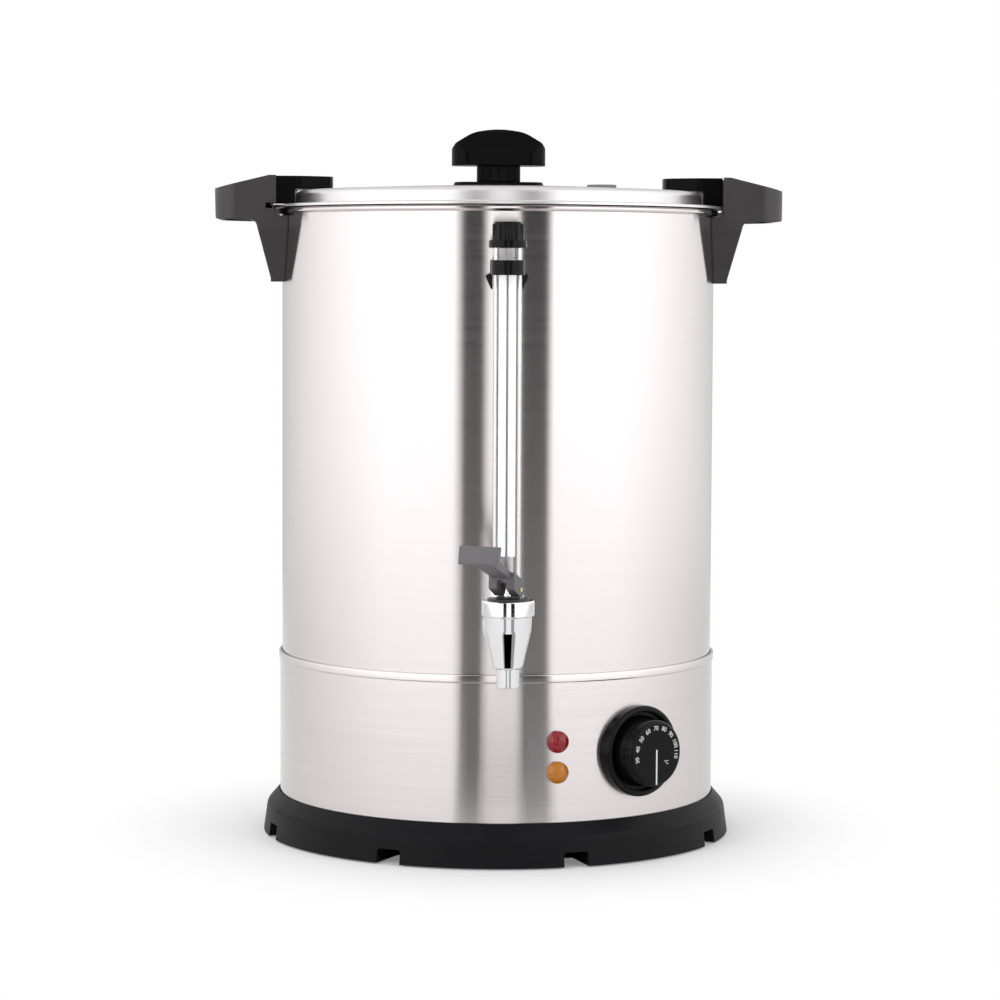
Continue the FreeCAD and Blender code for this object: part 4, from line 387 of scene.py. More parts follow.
@dataclass(frozen=True)
class Finish:
    """What every finish has: a name and a colour."""

    name: str
    colour: Colour
    edge_samples: ClassVar[int] = 6

    def start(self) -> tuple[bpy.types.Material, Wiring, bpy.types.Node]:
        """A material with its Principled BSDF, and the wiring of its nodes."""
        material = bpy.data.materials.new(self.name)
        material.use_nodes = True
        shader = material.node_tree.nodes["Principled BSDF"]
        shader.inputs["Base Color"].default_value = (*self.colour, 1.0)
        return material, Wiring(material.node_tree), shader

    def shade(self, wires: Wiring, shader: bpy.types.Node, amount: bpy.types.NodeSocket) -> None:
        """Darkens or lightens the finish's colour by a varying amount."""
        mix = wires.add("ShaderNodeMix", data_type="RGBA", blend_type="MULTIPLY")
        mix.inputs["Factor"].default_value = 1.0
        mix.inputs["A"].default_value = (*self.colour, 1.0)
        wires.join(amount, mix.inputs["B"])
        wires.join(mix.outputs["Result"], shader.inputs["Base Color"])

    def relief(
        self,
        wires: Wiring,
        shader: bpy.types.Node,
        height: bpy.types.NodeSocket | None,
        depth: float,
        edge: float,
    ) -> None:
        """Softens the edges and raises a fine relief.

        Args:
            wires: The material's wiring.
            shader: Its Principled BSDF.
            height: The relief, or None.
            depth: The relief's depth in millimetres.
            edge: The softening of sharp edges in millimetres, or 0.
        """
        normal = None
        if edge:
            soft = wires.add("ShaderNodeBevel", samples=self.edge_samples)
            soft.inputs["Radius"].default_value = edge * MM
            normal = soft.outputs["Normal"]
        if height is not None:
            bump = wires.add("ShaderNodeBump")
            bump.inputs["Strength"].default_value = 1.0
            bump.inputs["Distance"].default_value = depth * MM
            wires.join(height, bump.inputs["Height"])
            if normal is not None:
                wires.join(normal, bump.inputs["Normal"])
            normal = bump.outputs["Normal"]
        if normal is not None:
            wires.join(normal, shader.inputs["Normal"])


def use_group(wires: Wiring, tree: bpy.types.ShaderNodeTree, **values: float) -> bpy.types.Node:
    """Places a shader group in a material with its own values."""
    node = wires.add("ShaderNodeGroup", node_tree=tree)
    for key, amount in values.items():
        node.inputs[key].default_value = amount
    return node


@dataclass(frozen=True)
class BrushedSteel(Finish):
    """Stainless sheet brushed round the tank."""

    roughness: float = 0.3
    anisotropy: float = 0.7
    depth: float = 0.012
    shade_spread: float = 0.1
    streak_spread: float = 0.16
    along_lines: float = 0.25

    def build(self, effects: Effects) -> bpy.types.Material:
        """Makes the material."""
        material, wires, shader = self.start()
        lines = use_group(
            wires,
            effects.brushing,
            Roughness=self.roughness,
            Spread=self.streak_spread,
            Shade=self.shade_spread,
        )
        shader.inputs["Metallic"].default_value = 1.0
        shader.inputs["Anisotropic"].default_value = self.anisotropy
        shader.inputs["Anisotropic Rotation"].default_value = self.along_lines
        tangent = wires.add("ShaderNodeTangent", direction_type="RADIAL", axis="Z")
        wires.join(tangent.outputs["Tangent"], shader.inputs["Tangent"])
        self.shade(wires, shader, lines.outputs["Shade"])
        wires.join(lines.outputs["Roughness"], shader.inputs["Roughness"])
        self.relief(wires, shader, lines.outputs["Height"], self.depth, 0.0)
        return material


@dataclass(frozen=True)
class Metal(Finish):
    """Polished, plated or plain metal."""

    roughness: float = 0.1
    spread: float = 0.05
    edge: float = 0.25
    mark_size: float = 25.0
    mark_shade: float = 0.12

    def build(self, effects: Effects) -> bpy.types.Material:
        """Makes the material."""
        material, wires, shader = self.start()
        marks = use_group(
            wires,
            effects.handling,
            Size=self.mark_size,
            Shade=self.mark_shade,
            Roughness=self.roughness,
            Spread=self.spread,
        )
        shader.inputs["Metallic"].default_value = 1.0
        self.shade(wires, shader, marks.outputs["Shade"])
        wires.join(marks.outputs["Roughness"], shader.inputs["Roughness"])
        self.relief(wires, shader, None, 0.0, self.edge)
        return material


@dataclass(frozen=True)
class Moulded(Finish):
    """Moulded plastic or rubber with a fine grain."""

    roughness: float = 0.42
    spread: float = 0.2
    grain: float = 900.0
    depth: float = 0.02
    edge: float = 0.7
    gloss: float = 0.5
    # Strength of a painted glow: light of the piece's own colour, given off though it is no lamp.
    glow: float = 0.0
    rubbed_shade: float = 0.35

    def build(self, effects: Effects) -> bpy.types.Material:
        """Makes the material."""
        material, wires, shader = self.start()
        grain = use_group(
            wires,
            effects.moulding,
            Grain=self.grain,
            Roughness=self.roughness,
            Spread=self.spread,
            Shade=self.rubbed_shade,
        )
        shader.inputs["Specular IOR Level"].default_value = self.gloss
        # Painted light: the piece glows with its own colour.
        if self.glow:
            shader.inputs["Emission Color"].default_value = (*self.colour, 1.0)
            shader.inputs["Emission Strength"].default_value = self.glow
        self.shade(wires, shader, grain.outputs["Shade"])
        wires.join(grain.outputs["Roughness"], shader.inputs["Roughness"])
        self.relief(wires, shader, grain.outputs["Height"], self.depth, self.edge)
        return material


@dataclass(frozen=True)
class Clear(Finish):
    """Clear or tinted plastic that light passes through."""

    roughness: float = 0.03
    bends: float = 1.46
    through: float = 1.0
    spread: float = 0.03
    mark_size: float = 60.0
    mark_shade: float = 0.04

    def build(self, effects: Effects) -> bpy.types.Material:
        """Makes the material."""
        material, wires, shader = self.start()
        marks = use_group(
            wires,
            effects.handling,
            Size=self.mark_size,
            Shade=self.mark_shade,
            Roughness=self.roughness,
            Spread=self.spread,
        )
        shader.inputs["Transmission Weight"].default_value = self.through
        shader.inputs["IOR"].default_value = self.bends
        self.shade(wires, shader, marks.outputs["Shade"])
        wires.join(marks.outputs["Roughness"], shader.inputs["Roughness"])
        return material


class Finishes:
    """Every finish of the urn, built once."""

    def __init__(self) -> None:
        """Builds the shared effects and all the materials."""
        effects = Effects()
        self.shell = BrushedSteel(
            "tank_steel",
            (0.685, 0.64, 0.645),
            roughness=0.17,
            anisotropy=1.0,
        ).build(effects)
        self.lid = BrushedSteel(
            "lid_steel",
            (0.70, 0.68, 0.685),
            roughness=0.33,
            anisotropy=0.3,
            depth=0.004,
            shade_spread=0.05,
        ).build(effects)
        self.inner = Metal(
            "pressed_steel",
            (0.55, 0.55, 0.55),
            roughness=0.32,
            spread=0.2,
        ).build(effects)
        self.fastener = Metal(
            "zinc_plate",
            (0.6, 0.6, 0.61),
            roughness=0.28,
            spread=0.2,
        ).build(effects)
        self.chrome = Metal(
            "tap_chrome",
            (0.83, 0.83, 0.84),
            roughness=0.05,
            spread=0.04,
            edge=0.5,
        ).build(effects)
        self.brass = Metal(
            "pin_brass",
            (0.78, 0.58, 0.28),
            roughness=0.2,
            spread=0.1,
        ).build(effects)
        self.spreader = Metal(
            "turned_aluminium",
            (0.76, 0.76, 0.77),
            roughness=0.36,
            spread=0.15,
        ).build(effects)
        self.element = Metal(
            "heated_steel",
            (0.3, 0.25, 0.22),
            roughness=0.45,
            spread=0.2,
        ).build(effects)
        self.base = Moulded(
            "base_plastic",
            (0.006, 0.006, 0.007),
            roughness=0.44,
            gloss=0.1,
        ).build(effects)
        self.knob = Moulded(
            "knob_plastic",
            (0.002, 0.002, 0.0023),
            roughness=0.24,
            spread=0.12,
            grain=1100.0,
            depth=0.008,
            edge=1.8,
            gloss=0.06,
        ).build(effects)
        self.grip = Moulded(
            "grip_plastic",
            (0.03, 0.026, 0.028),
            roughness=0.38,
            spread=0.16,
            grain=1100.0,
            depth=0.012,
            edge=1.8,
            gloss=0.45,
        ).build(effects)
        self.dial = Moulded(
            "dial_plastic",
            (0.003, 0.003, 0.0035),
            roughness=0.22,
            spread=0.12,
            grain=1100.0,
            depth=0.008,
            edge=0.6,
            gloss=0.14,
        ).build(effects)
        self.lever = Moulded(
            "lever_plastic",
            (0.13, 0.125, 0.135),
            roughness=0.4,
            spread=0.15,
            grain=1000.0,
            depth=0.01,
            edge=0.8,
            gloss=0.4,
        ).build(effects)
        self.bonnet = Moulded(
            "bonnet_plastic",
            (0.02, 0.017, 0.015),
            spread=0.15,
            depth=0.01,
            edge=0.4,
        ).build(effects)
        self.vent = Moulded(
            "vent_plastic",
            (0.2, 0.2, 0.21),
            roughness=0.4,
            spread=0.15,
            depth=0.01,
            edge=0.8,
        ).build(effects)
        self.control = Moulded(
            "control_resin",
            (0.42, 0.39, 0.32),
            roughness=0.5,
            spread=0.15,
            grain=500.0,
            depth=0.03,
            edge=0.4,
        ).build(effects)
        self.reset = Moulded(
            "reset_plastic",
            (0.45, 0.02, 0.02),
            roughness=0.35,
            spread=0.1,
        ).build(effects)
        self.rubber = Moulded(
            "rubber",
            (0.035, 0.035, 0.036),
            roughness=0.7,
            spread=0.15,
            grain=600.0,
            depth=0.03,
            edge=0.3,
            gloss=0.3,
        ).build(effects)
        # The gauge strip is white plastic with a painted glow that makes up for the light the tube keeps off
        # it.
        self.backing = Moulded(
            "gauge_white",
            (0.9, 0.9, 0.9),
            roughness=0.5,
            spread=0.1,
            depth=0.004,
            edge=0.0,
            glow=0.55,
        ).build(effects)
        # The grey line down the gauge is a painted reflection seen through the tube.
        self.graphite = Moulded(
            "gauge_grey",
            (0.19, 0.19, 0.2),
            roughness=0.5,
            spread=0.1,
            depth=0.004,
            edge=0.0,
        ).build(effects)
        self.marking = Moulded(
            "dial_marking",
            (0.82, 0.82, 0.82),
            roughness=0.5,
            spread=0.1,
            depth=0.004,
            edge=0.0,
        ).build(effects)
        self.tube = Clear(
            "gauge_tube",
            (0.97, 0.98, 0.98),
        ).build(effects)
        self.red = Clear(
            "red_lens",
            (0.34, 0.006, 0.012),
            roughness=0.07,
            bends=1.5,
            through=0.25,
        ).build(effects)
        self.amber = Clear(
            "amber_lens",
            (0.6, 0.22, 0.01),
            roughness=0.07,
            bends=1.5,
            through=0.25,
        ).build(effects)


def dress(material: bpy.types.Material, *names: str) -> None:
    """Gives CAD nodes a finish.

    Args:
        material: The finish.
        names: The nodes.
    """
    for name in names:
        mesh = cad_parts[name].data
        mesh.materials.clear()
        mesh.materials.append(material)
    log.info("%s on %s", material.name, ", ".join(names))


def add_piece(
    piece: bpy.types.Object,
    material: bpy.types.Material,
    body: str,
    replaced: tuple[str, ...] = (),
) -> bpy.types.Object:
    """Dresses a new piece and puts it on its body.

    Args:
        piece: The piece.
        material: Its finish.
        body: The CAD body that it moves with.
        replaced: CAD nodes that it stands for.

    Returns:
        The piece.
    """
    piece.data.materials.clear()
    piece.data.materials.append(material)
    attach(piece, body)
    if replaced:
        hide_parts(*replaced)
    log.info("%s on %s", piece.name, body)
    return piece


# Sub-assemblies


@dataclass
class Tank:
    """Tank wall, its floor and the housing ring below it."""

    radius: float = 150.0
    wall: float = 1.0
    foot: float = 110.0
    rim: float = 433.9
    bead_height: float = 3.9
    bead_reach: float = 3.0
    ring_radius: float = 151.5
    ring_foot: float = 16.5
    ring_top: float = 127.0
    hem: float = 5.5
    hem_reach: float = 0.8
    bead_rounding: float = 1.7
    bead_foot_rounding: float = 0.5
    mouth_rounding: float = 0.4
    hem_rounding: float = 0.7

    def wall_outline(self) -> list[Corner]:
        """The section of the tank wall with its rolled rim."""
        inner = self.radius - self.wall
        bead_foot = self.rim - self.bead_height
        return [
            Corner(inner, self.foot),
            Corner(self.radius, self.foot),
            Corner(self.radius, bead_foot, self.bead_foot_rounding),
            Corner(self.radius + self.bead_reach, bead_foot, self.bead_rounding),
            Corner(self.radius + self.bead_reach, self.rim, self.bead_rounding),
            Corner(inner, self.rim, self.mouth_rounding),
        ]

    def ring_outline(self) -> list[Corner]:
        """The section of the housing ring with its folded hem."""
        inner = self.ring_radius - self.wall
        outer = self.ring_radius + self.hem_reach
        return [
            Corner(inner, self.ring_foot),
            Corner(self.ring_radius, self.ring_foot),
            Corner(self.ring_radius, self.ring_top - self.hem),
            Corner(outer, self.ring_top - self.hem + self.hem_reach),
            Corner(outer, self.ring_top, self.hem_rounding),
            Corner(inner, self.ring_top),
        ]

    def build(self, finishes: Finishes) -> None:
        """Makes and dresses the tank."""
        wall = finish_mesh(turned_shape(self.wall_outline()), "tank_wall_skin")
        add_piece(wall, finishes.shell, "urn", ("tank_wall",))
        ring = finish_mesh(turned_shape(self.ring_outline()), "housing_ring_skin")
        add_piece(ring, finishes.shell, "urn", ("housing_ring",))
        dress(finishes.inner, "tank_floor", "handle_plates", "bottom_pan", "element_clamps")
        dress(finishes.fastener, "handle_screws", "tie_studs", "stud_nuts", "pan_screws")


@dataclass
class Lid:
    """Lid with its ears, lugs, knob and vent cap."""

    flange_radius: float = 156.2
    flange_foot: float = 434.2
    flange_top: float = 436.0
    wall: float = 0.9
    dome_radius: float = 141.0
    top: float = 448.3
    shoulder: float = 4.0
    crown: float = 2.5
    flat_radius: float = 84.0
    root: float = 1.5
    ear_turn: float = 17.2
    ear_reach: float = 6.8
    ear_width: float = 10.0
    ear_root: float = 3.0
    ear_rounding: float = 0.4
    flange_rounding: float = 0.7

    def outline(self) -> list[Corner]:
        """The section of the lid's sheet."""
        under = self.flange_top - self.wall
        edge = self.top - self.crown
        inside = self.dome_radius - self.wall
        return [
            Corner(0.0, self.top - self.wall),
            Corner(self.flat_radius, self.top - self.wall),
            Corner(inside, edge - self.wall, self.shoulder - self.wall),
            Corner(inside, under, self.root + self.wall),
            Corner(self.flange_radius - self.wall, under),
            Corner(self.flange_radius - self.wall, self.flange_foot),
            Corner(self.flange_radius, self.flange_foot),
            Corner(self.flange_radius, self.flange_top, self.flange_rounding),
            Corner(self.dome_radius, self.flange_top, self.root),
            Corner(self.dome_radius, edge, self.shoulder),
            Corner(self.flat_radius, self.top),
            Corner(0.0, self.top),
        ]

    def build(self, finishes: Finishes) -> None:
        """Makes and dresses the lid."""
        shape = turned_shape(self.outline())
        ear = (self.ear_reach + self.ear_root, self.ear_width, self.wall)
        middle = Vector((self.flange_radius + (self.ear_reach - self.ear_root) / 2, 0.0, 0.0))
        middle.z = self.flange_top - self.wall / 2
        for turn in (self.ear_turn, self.ear_turn + 180.0):
            place = Matrix.Rotation(math.radians(turn), 4, "Z") @ Matrix.Translation(middle * MM)
            block(shape, ear, place, self.ear_rounding)
        pan = finish_mesh(shape, "lid_pan_skin")
        add_piece(pan, finishes.lid, "lid", ("lid_pan",))
        dress(finishes.rubber, "lid_gasket")
        dress(finishes.knob, "lug_right", "lug_left", "knob_grip", "knob_plate")
        dress(finishes.fastener, "knob_screw")
        dress(finishes.vent, "vent_cap")


@dataclass
class Controls:
    """Dial with its markings, the two lamps and what is behind them."""

    dial_turn: float = 36.3
    dial_height: float = 73.0
    dial_face: float = 171.0
    number_radius: float = 17.0
    number_size: float = 4.3
    first_angle: float = -100.0
    last_angle: float = 95.0
    numbers: tuple[str, ...] = tuple(str(degrees) for degrees in range(30, 120, 10))
    line_top: float = 2.6
    line_foot: float = -20.6
    line_width: float = 1.2
    unit: str = "°C"
    unit_size: float = 3.6
    unit_across: float = 8.6
    unit_up: float = -6.5
    marking_depth: float = 0.12

    def face(self) -> Matrix:
        """The middle of the dial's face."""
        return radial_place(self.dial_turn, self.dial_face, self.dial_height)

    def write(self, shape: bmesh.types.BMesh, words: str, size: float, place: Matrix) -> None:
        """Adds raised writing to a mesh.

        Args:
            shape: The mesh.
            words: What is written.
            size: The height of its type in millimetres.
            place: Where its middle goes, its Y pointing up the letters.
        """
        text = bpy.data.curves.new("writing", "FONT")
        text.body = words
        text.size = size * MM
        text.extrude = self.marking_depth / 2 * MM
        text.align_x = "CENTER"
        text.align_y = "CENTER"
        carrier = bpy.data.objects.new("writing", text)
        held = bmesh.new()
        held.from_mesh(carrier.to_mesh())
        bmesh.ops.transform(held, verts=held.verts, matrix=place)
        ready = bpy.data.meshes.new("writing")
        held.to_mesh(ready)
        held.free()
        shape.from_mesh(ready)
        carrier.to_mesh_clear()
        bpy.data.objects.remove(carrier)
        bpy.data.curves.remove(text)
        bpy.data.meshes.remove(ready)

    def number_piece(self) -> bpy.types.Object:
        """The numbers round the dial's face and their unit, as one mesh."""
        face = self.face()
        step = (self.last_angle - self.first_angle) / (len(self.numbers) - 1)
        shape = bmesh.new()
        for n, number in enumerate(self.numbers):
            turn = Matrix.Rotation(-math.radians(self.first_angle + n * step), 4, "Z")
            out = Matrix.Translation(Vector((0.0, self.number_radius, 0.0)) * MM)
            self.write(shape, number, self.number_size, face @ turn @ out)
        beside = Matrix.Translation(Vector((self.unit_across, self.unit_up, 0.0)) * MM)
        self.write(shape, self.unit, self.unit_size, face @ beside)
        return finish_mesh(shape, "dial_numbers")

    def line_piece(self) -> bpy.types.Object:
        """The pointer line from the dial's middle down."""
        shape = bmesh.new()
        centre = Matrix.Translation(Vector((0.0, (self.line_top + self.line_foot) / 2, 0.0)) * MM)
        size = (self.line_width, self.line_top - self.line_foot, self.marking_depth)
        block(shape, size, self.face() @ centre)
        return finish_mesh(shape, "dial_line")

    def build(self, finishes: Finishes) -> None:
        """Makes and dresses the controls."""
        dress(finishes.dial, "dial_bezel", "dial_knob")
        dress(finishes.fastener, "dial_shaft")
        dress(finishes.control, "thermostat_body", "lamp_body_red", "lamp_body_amber", "lamp_nuts")
        dress(finishes.red, "lamp_lens_red")
        dress(finishes.amber, "lamp_lens_amber")
        add_piece(self.number_piece(), finishes.marking, "dial")
        add_piece(self.line_piece(), finishes.marking, "dial")


@dataclass
class TapAndGauge:
    """Tap, its lever and valve, and the sight gauge above it."""

    gauge_out: float = 165.0
    strip_foot: float = 206.0
    strip_top: float = 398.0
    strip_width: float = 11.6
    strip_behind: float = 2.6
    strip_depth: float = 0.8
    strip_rounding: float = 0.2
    line_width: float = 1.3
    line_depth: float = 0.4
    line_rounding: float = 0.1

    def strip_piece(
        self, name: str, width: float, depth: float, behind: float, rounding: float
    ) -> bpy.types.Object:
        """An upright strip inside the gauge tube.

        Args:
            name: The strip's name.
            width: Its width in millimetres.
            depth: Its depth in millimetres.
            behind: How far its middle lies behind the tube's axis, in millimetres.
            rounding: The rounding of its edges in millimetres.

        Returns:
            The strip.
        """
        shape = bmesh.new()
        middle = (self.strip_foot + self.strip_top) / 2
        place = Matrix.Translation(Vector((0.0, behind - self.gauge_out, middle)) * MM)
        block(shape, (width, depth, self.strip_top - self.strip_foot), place, rounding)
        return finish_mesh(shape, name)

    def build(self, finishes: Finishes) -> None:
        """Dresses the tap and the gauge, and makes the strip in the gauge, with its painted glow, and the
        grey line on it, a painted reflection.
        """
        dress(finishes.chrome, "tap_body", "tap_nut", "valve_stem")
        dress(finishes.bonnet, "bonnet", "thrust_washer")
        dress(finishes.lever, "lever")
        dress(finishes.brass, "lever_pin")
        dress(finishes.rubber, "tap_washer_outer", "tap_washer_inner", "seat_cup", "gauge_seal")
        dress(finishes.fastener, "valve_spring")
        dress(finishes.tube, "gauge_tube")
        dress(finishes.dial, "gauge_cap", "gauge_bracket")
        strip = self.strip_piece(
            "gauge_strip", self.strip_width, self.strip_depth, self.strip_behind, self.strip_rounding
        )
        add_piece(strip, finishes.backing, "urn")
        # A grey line down the middle of the strip: a painted reflection.
        front = self.strip_behind - self.strip_depth
        line = self.strip_piece("gauge_painted_reflection", self.line_width, self.line_depth, front, self.line_rounding)
        add_piece(line, finishes.graphite, "urn")


@dataclass
class BaseAndHeating:
    """Base ring, foot, handles, heating and wiring points."""

    def build(self, finishes: Finishes) -> None:
        """Dresses the base, the handles and what is inside."""
        dress(finishes.base, "base_ring", "cable_gland", "gland_nut", "terminal_block")
        dress(finishes.grip, "handle_right", "handle_left")
        dress(finishes.rubber, "foot_ring")
        dress(finishes.spreader, "heat_spreader")
        dress(finishes.element, "heating_element")
        dress(finishes.control, "boil_dry_cutout")
        dress(finishes.reset, "reset_button")
        dress(finishes.fastener, "thermostat_bulb")


# Studio


@dataclass(frozen=True)
class Strip:
    """A curved strip of light round the urn that only mirror-like surfaces see.

    It runs between a low and a high edge, each a distance out and a height in metres. Its stops are
    angles from the front in degrees with the light there, and between them the light changes evenly.
    """

    name: str
    stops: tuple[tuple[float, float], ...]
    low: tuple[float, float] = (1.7, -0.2)
    high: tuple[float, float] = (1.7, 1.9)

    def light_at(self, turn: float) -> float:
        """The light at an angle from the front."""
        for (first, low), (last, high) in zip(self.stops, self.stops[1:]):
            if turn <= last:
                return low + (high - low) * (turn - first) / (last - first)
        return self.stops[-1][1]


@dataclass(frozen=True)
class Lamp:
    """A soft square lamp: where it hangs and its side in metres, and its power in watts."""

    name: str
    spot: Spot
    side: float
    power: float


@dataclass
class Studio:
    """Floor, backdrop, lamps, reflected strips and the camera.

    Lengths are in metres, but the camera's distance, height and sensor are in millimetres. Turns
    are in degrees, and those of the lights go from the front towards +X.
    """

    camera_distance: float = 2129.5
    camera_height: float = 381.7
    camera_azimuth: float = -2.2
    camera_pitch: float = 4.04
    camera_roll: float = 0.27
    camera_aside: float = -0.058
    focal_pixels: float = 3044.0
    frame_pixels: float = 1000.0
    sensor: float = 36.0
    box_light: float = 1.9
    middle_light: float = 1.6
    back_light: float = 0.4
    left_box: tuple[float, float] = (-60.0, -24.0)
    left_flag: tuple[float, float] = (-19.0, -9.5)
    middle_box: tuple[float, float] = (-6.0, 7.5)
    right_flag: tuple[float, float] = (10.0, 22.5)
    right_box: tuple[float, float] = (26.0, 62.0)
    floor_card_light: float = 0.35
    floor_card_near: float = 0.3
    floor_card_far: float = 1.6
    floor_card_height: float = 0.002
    tap_card_turns: tuple[float, float] = (-15.0, 11.0)
    tap_card_near: float = 0.37
    tap_card_far: float = 0.52
    tap_card_height: float = 0.003
    strip_steps_least: int = 8
    floor_half_side: float = 12.0
    floor_shade: float = 0.9
    shadow_radius: float = 0.15
    shadow_edge: float = 0.3
    shadow_glow: float = 0.2
    surround_light: float = 0.55
    aim: Spot = (0.0, 0.0, 0.25)
    lamps: tuple[Lamp, ...] = (
        Lamp("key_lamp", (-1.6, -1.9, 1.9), side=1.4, power=26.0),
        Lamp("fill_lamp", (1.9, -1.5, 1.3), side=1.4, power=14.0),
        Lamp("top_lamp", (0.0, 0.3, 2.3), side=1.6, power=16.0),
    )
    nearest: float = 0.05
    farthest: float = 60.0

    def even(self, turns: tuple[float, float], light: float) -> tuple[tuple[float, float], ...]:
        """The two stops of a stretch that has the same light all along."""
        return tuple((turn, light) for turn in turns)

    def ring(self) -> Strip:
        """Two large soft boxes, a small one between two black flags, and an even fall to the back."""
        return Strip(
            "studio_ring",
            (
                (-180.0, self.back_light),
                *self.even(self.left_box, self.box_light),
                *self.even(self.left_flag, 0.0),
                *self.even(self.middle_box, self.middle_light),
                *self.even(self.right_flag, 0.0),
                *self.even(self.right_box, self.box_light),
                (180.0, self.back_light),
            ),
        )

    def floor_cards(self) -> list[Strip]:
        """A grey card on the floor before each flag, and a black one before the tap."""
        near = (self.floor_card_near, self.floor_card_height)
        far = (self.floor_card_far, self.floor_card_height)
        tap_near = (self.tap_card_near, self.tap_card_height)
        tap_far = (self.tap_card_far, self.tap_card_height)
        return [
            Strip("floor_card_left", self.even(self.left_flag, self.floor_card_light), near, far),
            Strip("floor_card_right", self.even(self.right_flag, self.floor_card_light), near, far),
            Strip("floor_card_tap", self.even(self.tap_card_turns, 0.0), tap_near, tap_far),
        ]

    def strip_material(self) -> bpy.types.Material:
        """The light that each point of a strip carries."""
        material = bpy.data.materials.new("strip_light")
        material.use_nodes = True
        material.node_tree.nodes.clear()
        wires = Wiring(material.node_tree)
        carried = wires.add("ShaderNodeAttribute", attribute_name="light")
        light = wires.add("ShaderNodeEmission")
        wires.join(carried.outputs["Fac"], light.inputs["Strength"])
        output = wires.add("ShaderNodeOutputMaterial")
        wires.join(light.outputs[0], output.inputs["Surface"])
        return material

    def build_strip(self, strip: Strip, material: bpy.types.Material) -> None:
        """Makes a strip by turning its upright or level edge round the urn.

        Args:
            strip: The strip.
            material: Its light.
        """
        shape = bmesh.new()
        layer = shape.verts.layers.float.new("light")
        first, last = strip.stops[0][0], strip.stops[-1][0]
        start = math.radians(first - 90.0)
        edge = [
            shape.verts.new((math.cos(start) * out, math.sin(start) * out, height))
            for out, height in (strip.low, strip.high)
        ]
        bmesh.ops.spin(
            shape,
            geom=[*edge, shape.edges.new(edge)],
            cent=ORIGIN,
            axis=UP,
            dvec=ORIGIN,
            angle=math.radians(last - first),
            steps=max(int(last - first), self.strip_steps_least),
            use_merge=False,
        )
        for vert in shape.verts:
            turn = math.degrees(math.atan2(vert.co.x, -vert.co.y))
            vert[layer] = strip.light_at(turn)
        mesh = bpy.data.meshes.new(strip.name)
        shape.to_mesh(mesh)
        shape.free()
        mesh.materials.append(material)
        carrier = bpy.data.objects.new(strip.name, mesh)
        bpy.context.scene.collection.objects.link(carrier)
        carrier.visible_camera = False
        carrier.visible_shadow = False
        carrier.visible_diffuse = False
        carrier.visible_transmission = False

    def build_floor(self) -> None:
        """A large pale floor that keeps the urn's shadow."""
        shape = bmesh.new()
        bmesh.ops.create_grid(shape, x_segments=1, y_segments=1, size=self.floor_half_side)
        floor = finish_mesh(shape, "floor", Shading.SOFT)
        material = bpy.data.materials.new("floor_white")
        material.use_nodes = True
        wires = Wiring(material.node_tree)
        paper = material.node_tree.nodes["Principled BSDF"]
        paper.inputs["Base Color"].default_value = (*[self.floor_shade] * 3, 1.0)
        paper.inputs["Roughness"].default_value = 0.9
        paper.inputs["Specular IOR Level"].default_value = 0.0
        glow = wires.add("ShaderNodeEmission")
        glow.inputs["Strength"].default_value = 1.0
        path = wires.add("ShaderNodeLightPath")
        spot = wires.add("ShaderNodeTexCoord")
        apart = wires.add("ShaderNodeVectorMath", operation="LENGTH")
        wires.join(spot.outputs["Object"], apart.inputs[0])
        fade = wires.add("ShaderNodeMapRange", interpolation_type="SMOOTHSTEP")
        fade.inputs["From Min"].default_value = self.shadow_radius
        fade.inputs["From Max"].default_value = self.shadow_edge
        fade.inputs["To Min"].default_value = self.shadow_glow
        fade.inputs["To Max"].default_value = 1.0
        wires.join(apart.outputs["Value"], fade.inputs["Value"])
        seen = wires.work_out("MULTIPLY", path.outputs["Is Camera Ray"], fade.outputs["Result"])
        mix = wires.add("ShaderNodeMixShader")
        wires.join(seen, mix.inputs["Fac"])
        wires.join(paper.outputs[0], mix.inputs[1])
        wires.join(glow.outputs[0], mix.inputs[2])
        wires.join(mix.outputs[0], material.node_tree.nodes["Material Output"].inputs["Surface"])
        floor.data.materials.append(material)

    def build_world(self) -> None:
        """A white surround for camera, mirror and clear rays, and a softer one for the rest."""
        world = bpy.data.worlds.new("studio")
        bpy.context.scene.world = world
        world.use_nodes = True
        wires = Wiring(world.node_tree)
        back = world.node_tree.nodes["Background"]
        back.inputs["Color"].default_value = (1.0, 1.0, 1.0, 1.0)
        path = wires.add("ShaderNodeLightPath")
        seen = wires.work_out("MAXIMUM", path.outputs["Is Camera Ray"], path.outputs["Is Glossy Ray"])
        seen = wires.work_out("MAXIMUM", seen, path.outputs["Is Transmission Ray"])
        light = wires.work_out("MULTIPLY_ADD", seen, 1.0 - self.surround_light, self.surround_light)
        wires.join(light, back.inputs["Strength"])

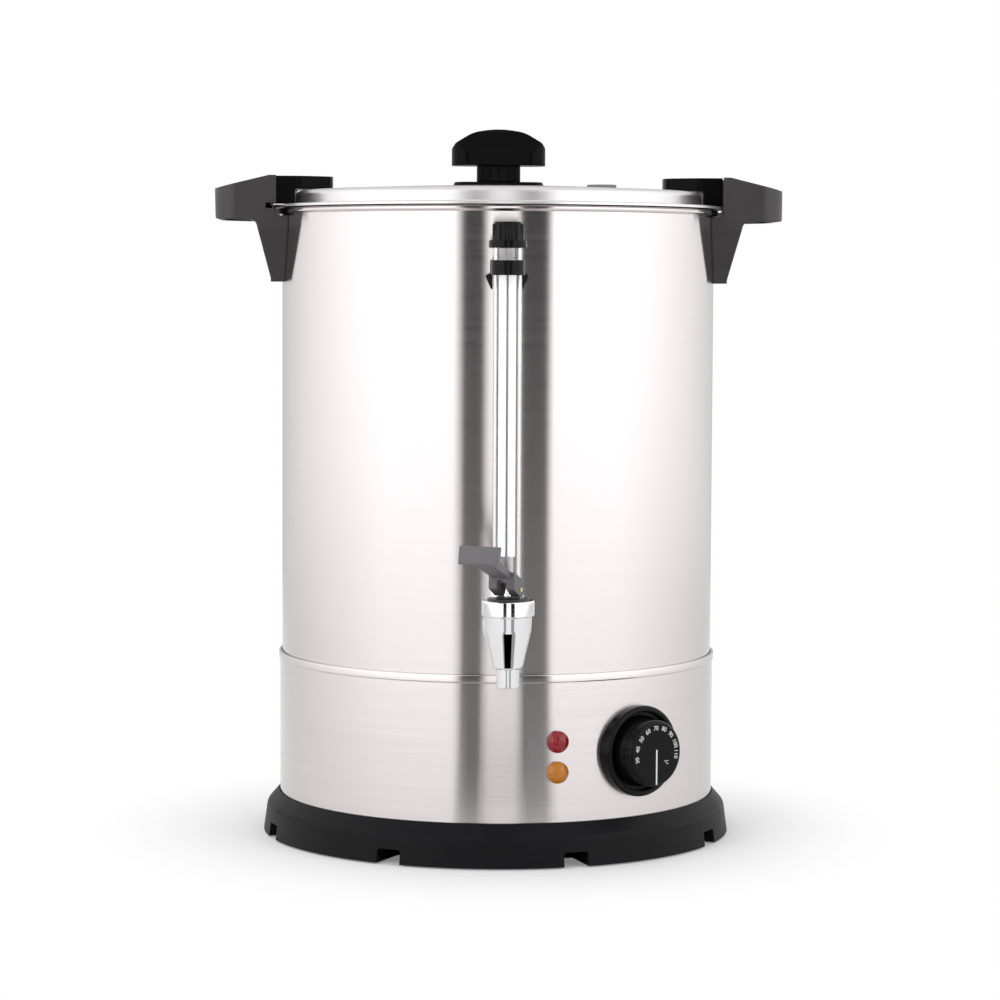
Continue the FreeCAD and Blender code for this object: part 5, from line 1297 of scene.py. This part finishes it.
    def build_lamp(self, lamp: Lamp) -> None:
        """A lamp that faces the urn and that neither mirrors nor the camera see."""
        light = bpy.data.lights.new(lamp.name, "AREA")
        light.size = lamp.side
        light.energy = lamp.power
        carrier = bpy.data.objects.new(lamp.name, light)
        spot = Vector(lamp.spot)
        carrier.location = spot
        carrier.rotation_euler = (Vector(self.aim) - spot).to_track_quat("-Z", "Y").to_euler()
        carrier.visible_glossy = False
        carrier.visible_camera = False
        bpy.context.scene.collection.objects.link(carrier)

    def build_camera(self) -> None:
        """The camera at the photograph's place."""
        camera = bpy.data.cameras.new("camera")
        camera.sensor_width = self.sensor
        camera.lens = self.focal_pixels / self.frame_pixels * self.sensor
        camera.clip_start = self.nearest
        camera.clip_end = self.farthest
        carrier = bpy.data.objects.new("camera", camera)
        bpy.context.scene.collection.objects.link(carrier)
        azimuth = math.radians(self.camera_azimuth)
        spot = Vector((math.sin(azimuth), -math.cos(azimuth), 0.0)) * self.camera_distance * MM
        spot.z = self.camera_height * MM
        yaw = Matrix.Rotation(math.radians(self.camera_azimuth + self.camera_aside), 4, "Z")
        pitch = Matrix.Rotation(math.radians(90.0 - self.camera_pitch), 4, "X")
        roll = Matrix.Rotation(math.radians(self.camera_roll), 4, "Z")
        carrier.matrix_world = Matrix.Translation(spot) @ yaw @ pitch @ roll
        bpy.context.scene.camera = carrier

    def build(self) -> None:
        """Makes the whole studio."""
        self.build_floor()
        self.build_world()
        material = self.strip_material()
        for strip in (self.ring(), *self.floor_cards()):
            self.build_strip(strip, material)
        for lamp in self.lamps:
            self.build_lamp(lamp)
        self.build_camera()
        bpy.context.scene.view_settings.view_transform = "Standard"


def main() -> None:
    """Builds the urn, sub-assembly by sub-assembly, and then its studio."""
    logging.basicConfig(level=logging.INFO, format="%(message)s")
    finishes = Finishes()
    for part in (Tank(), Lid(), Controls(), TapAndGauge(), BaseAndHeating()):
        part.build(finishes)
        log.info("%s is done", type(part).__name__)
    Studio().build()


if __name__ == "__main__":
    main()
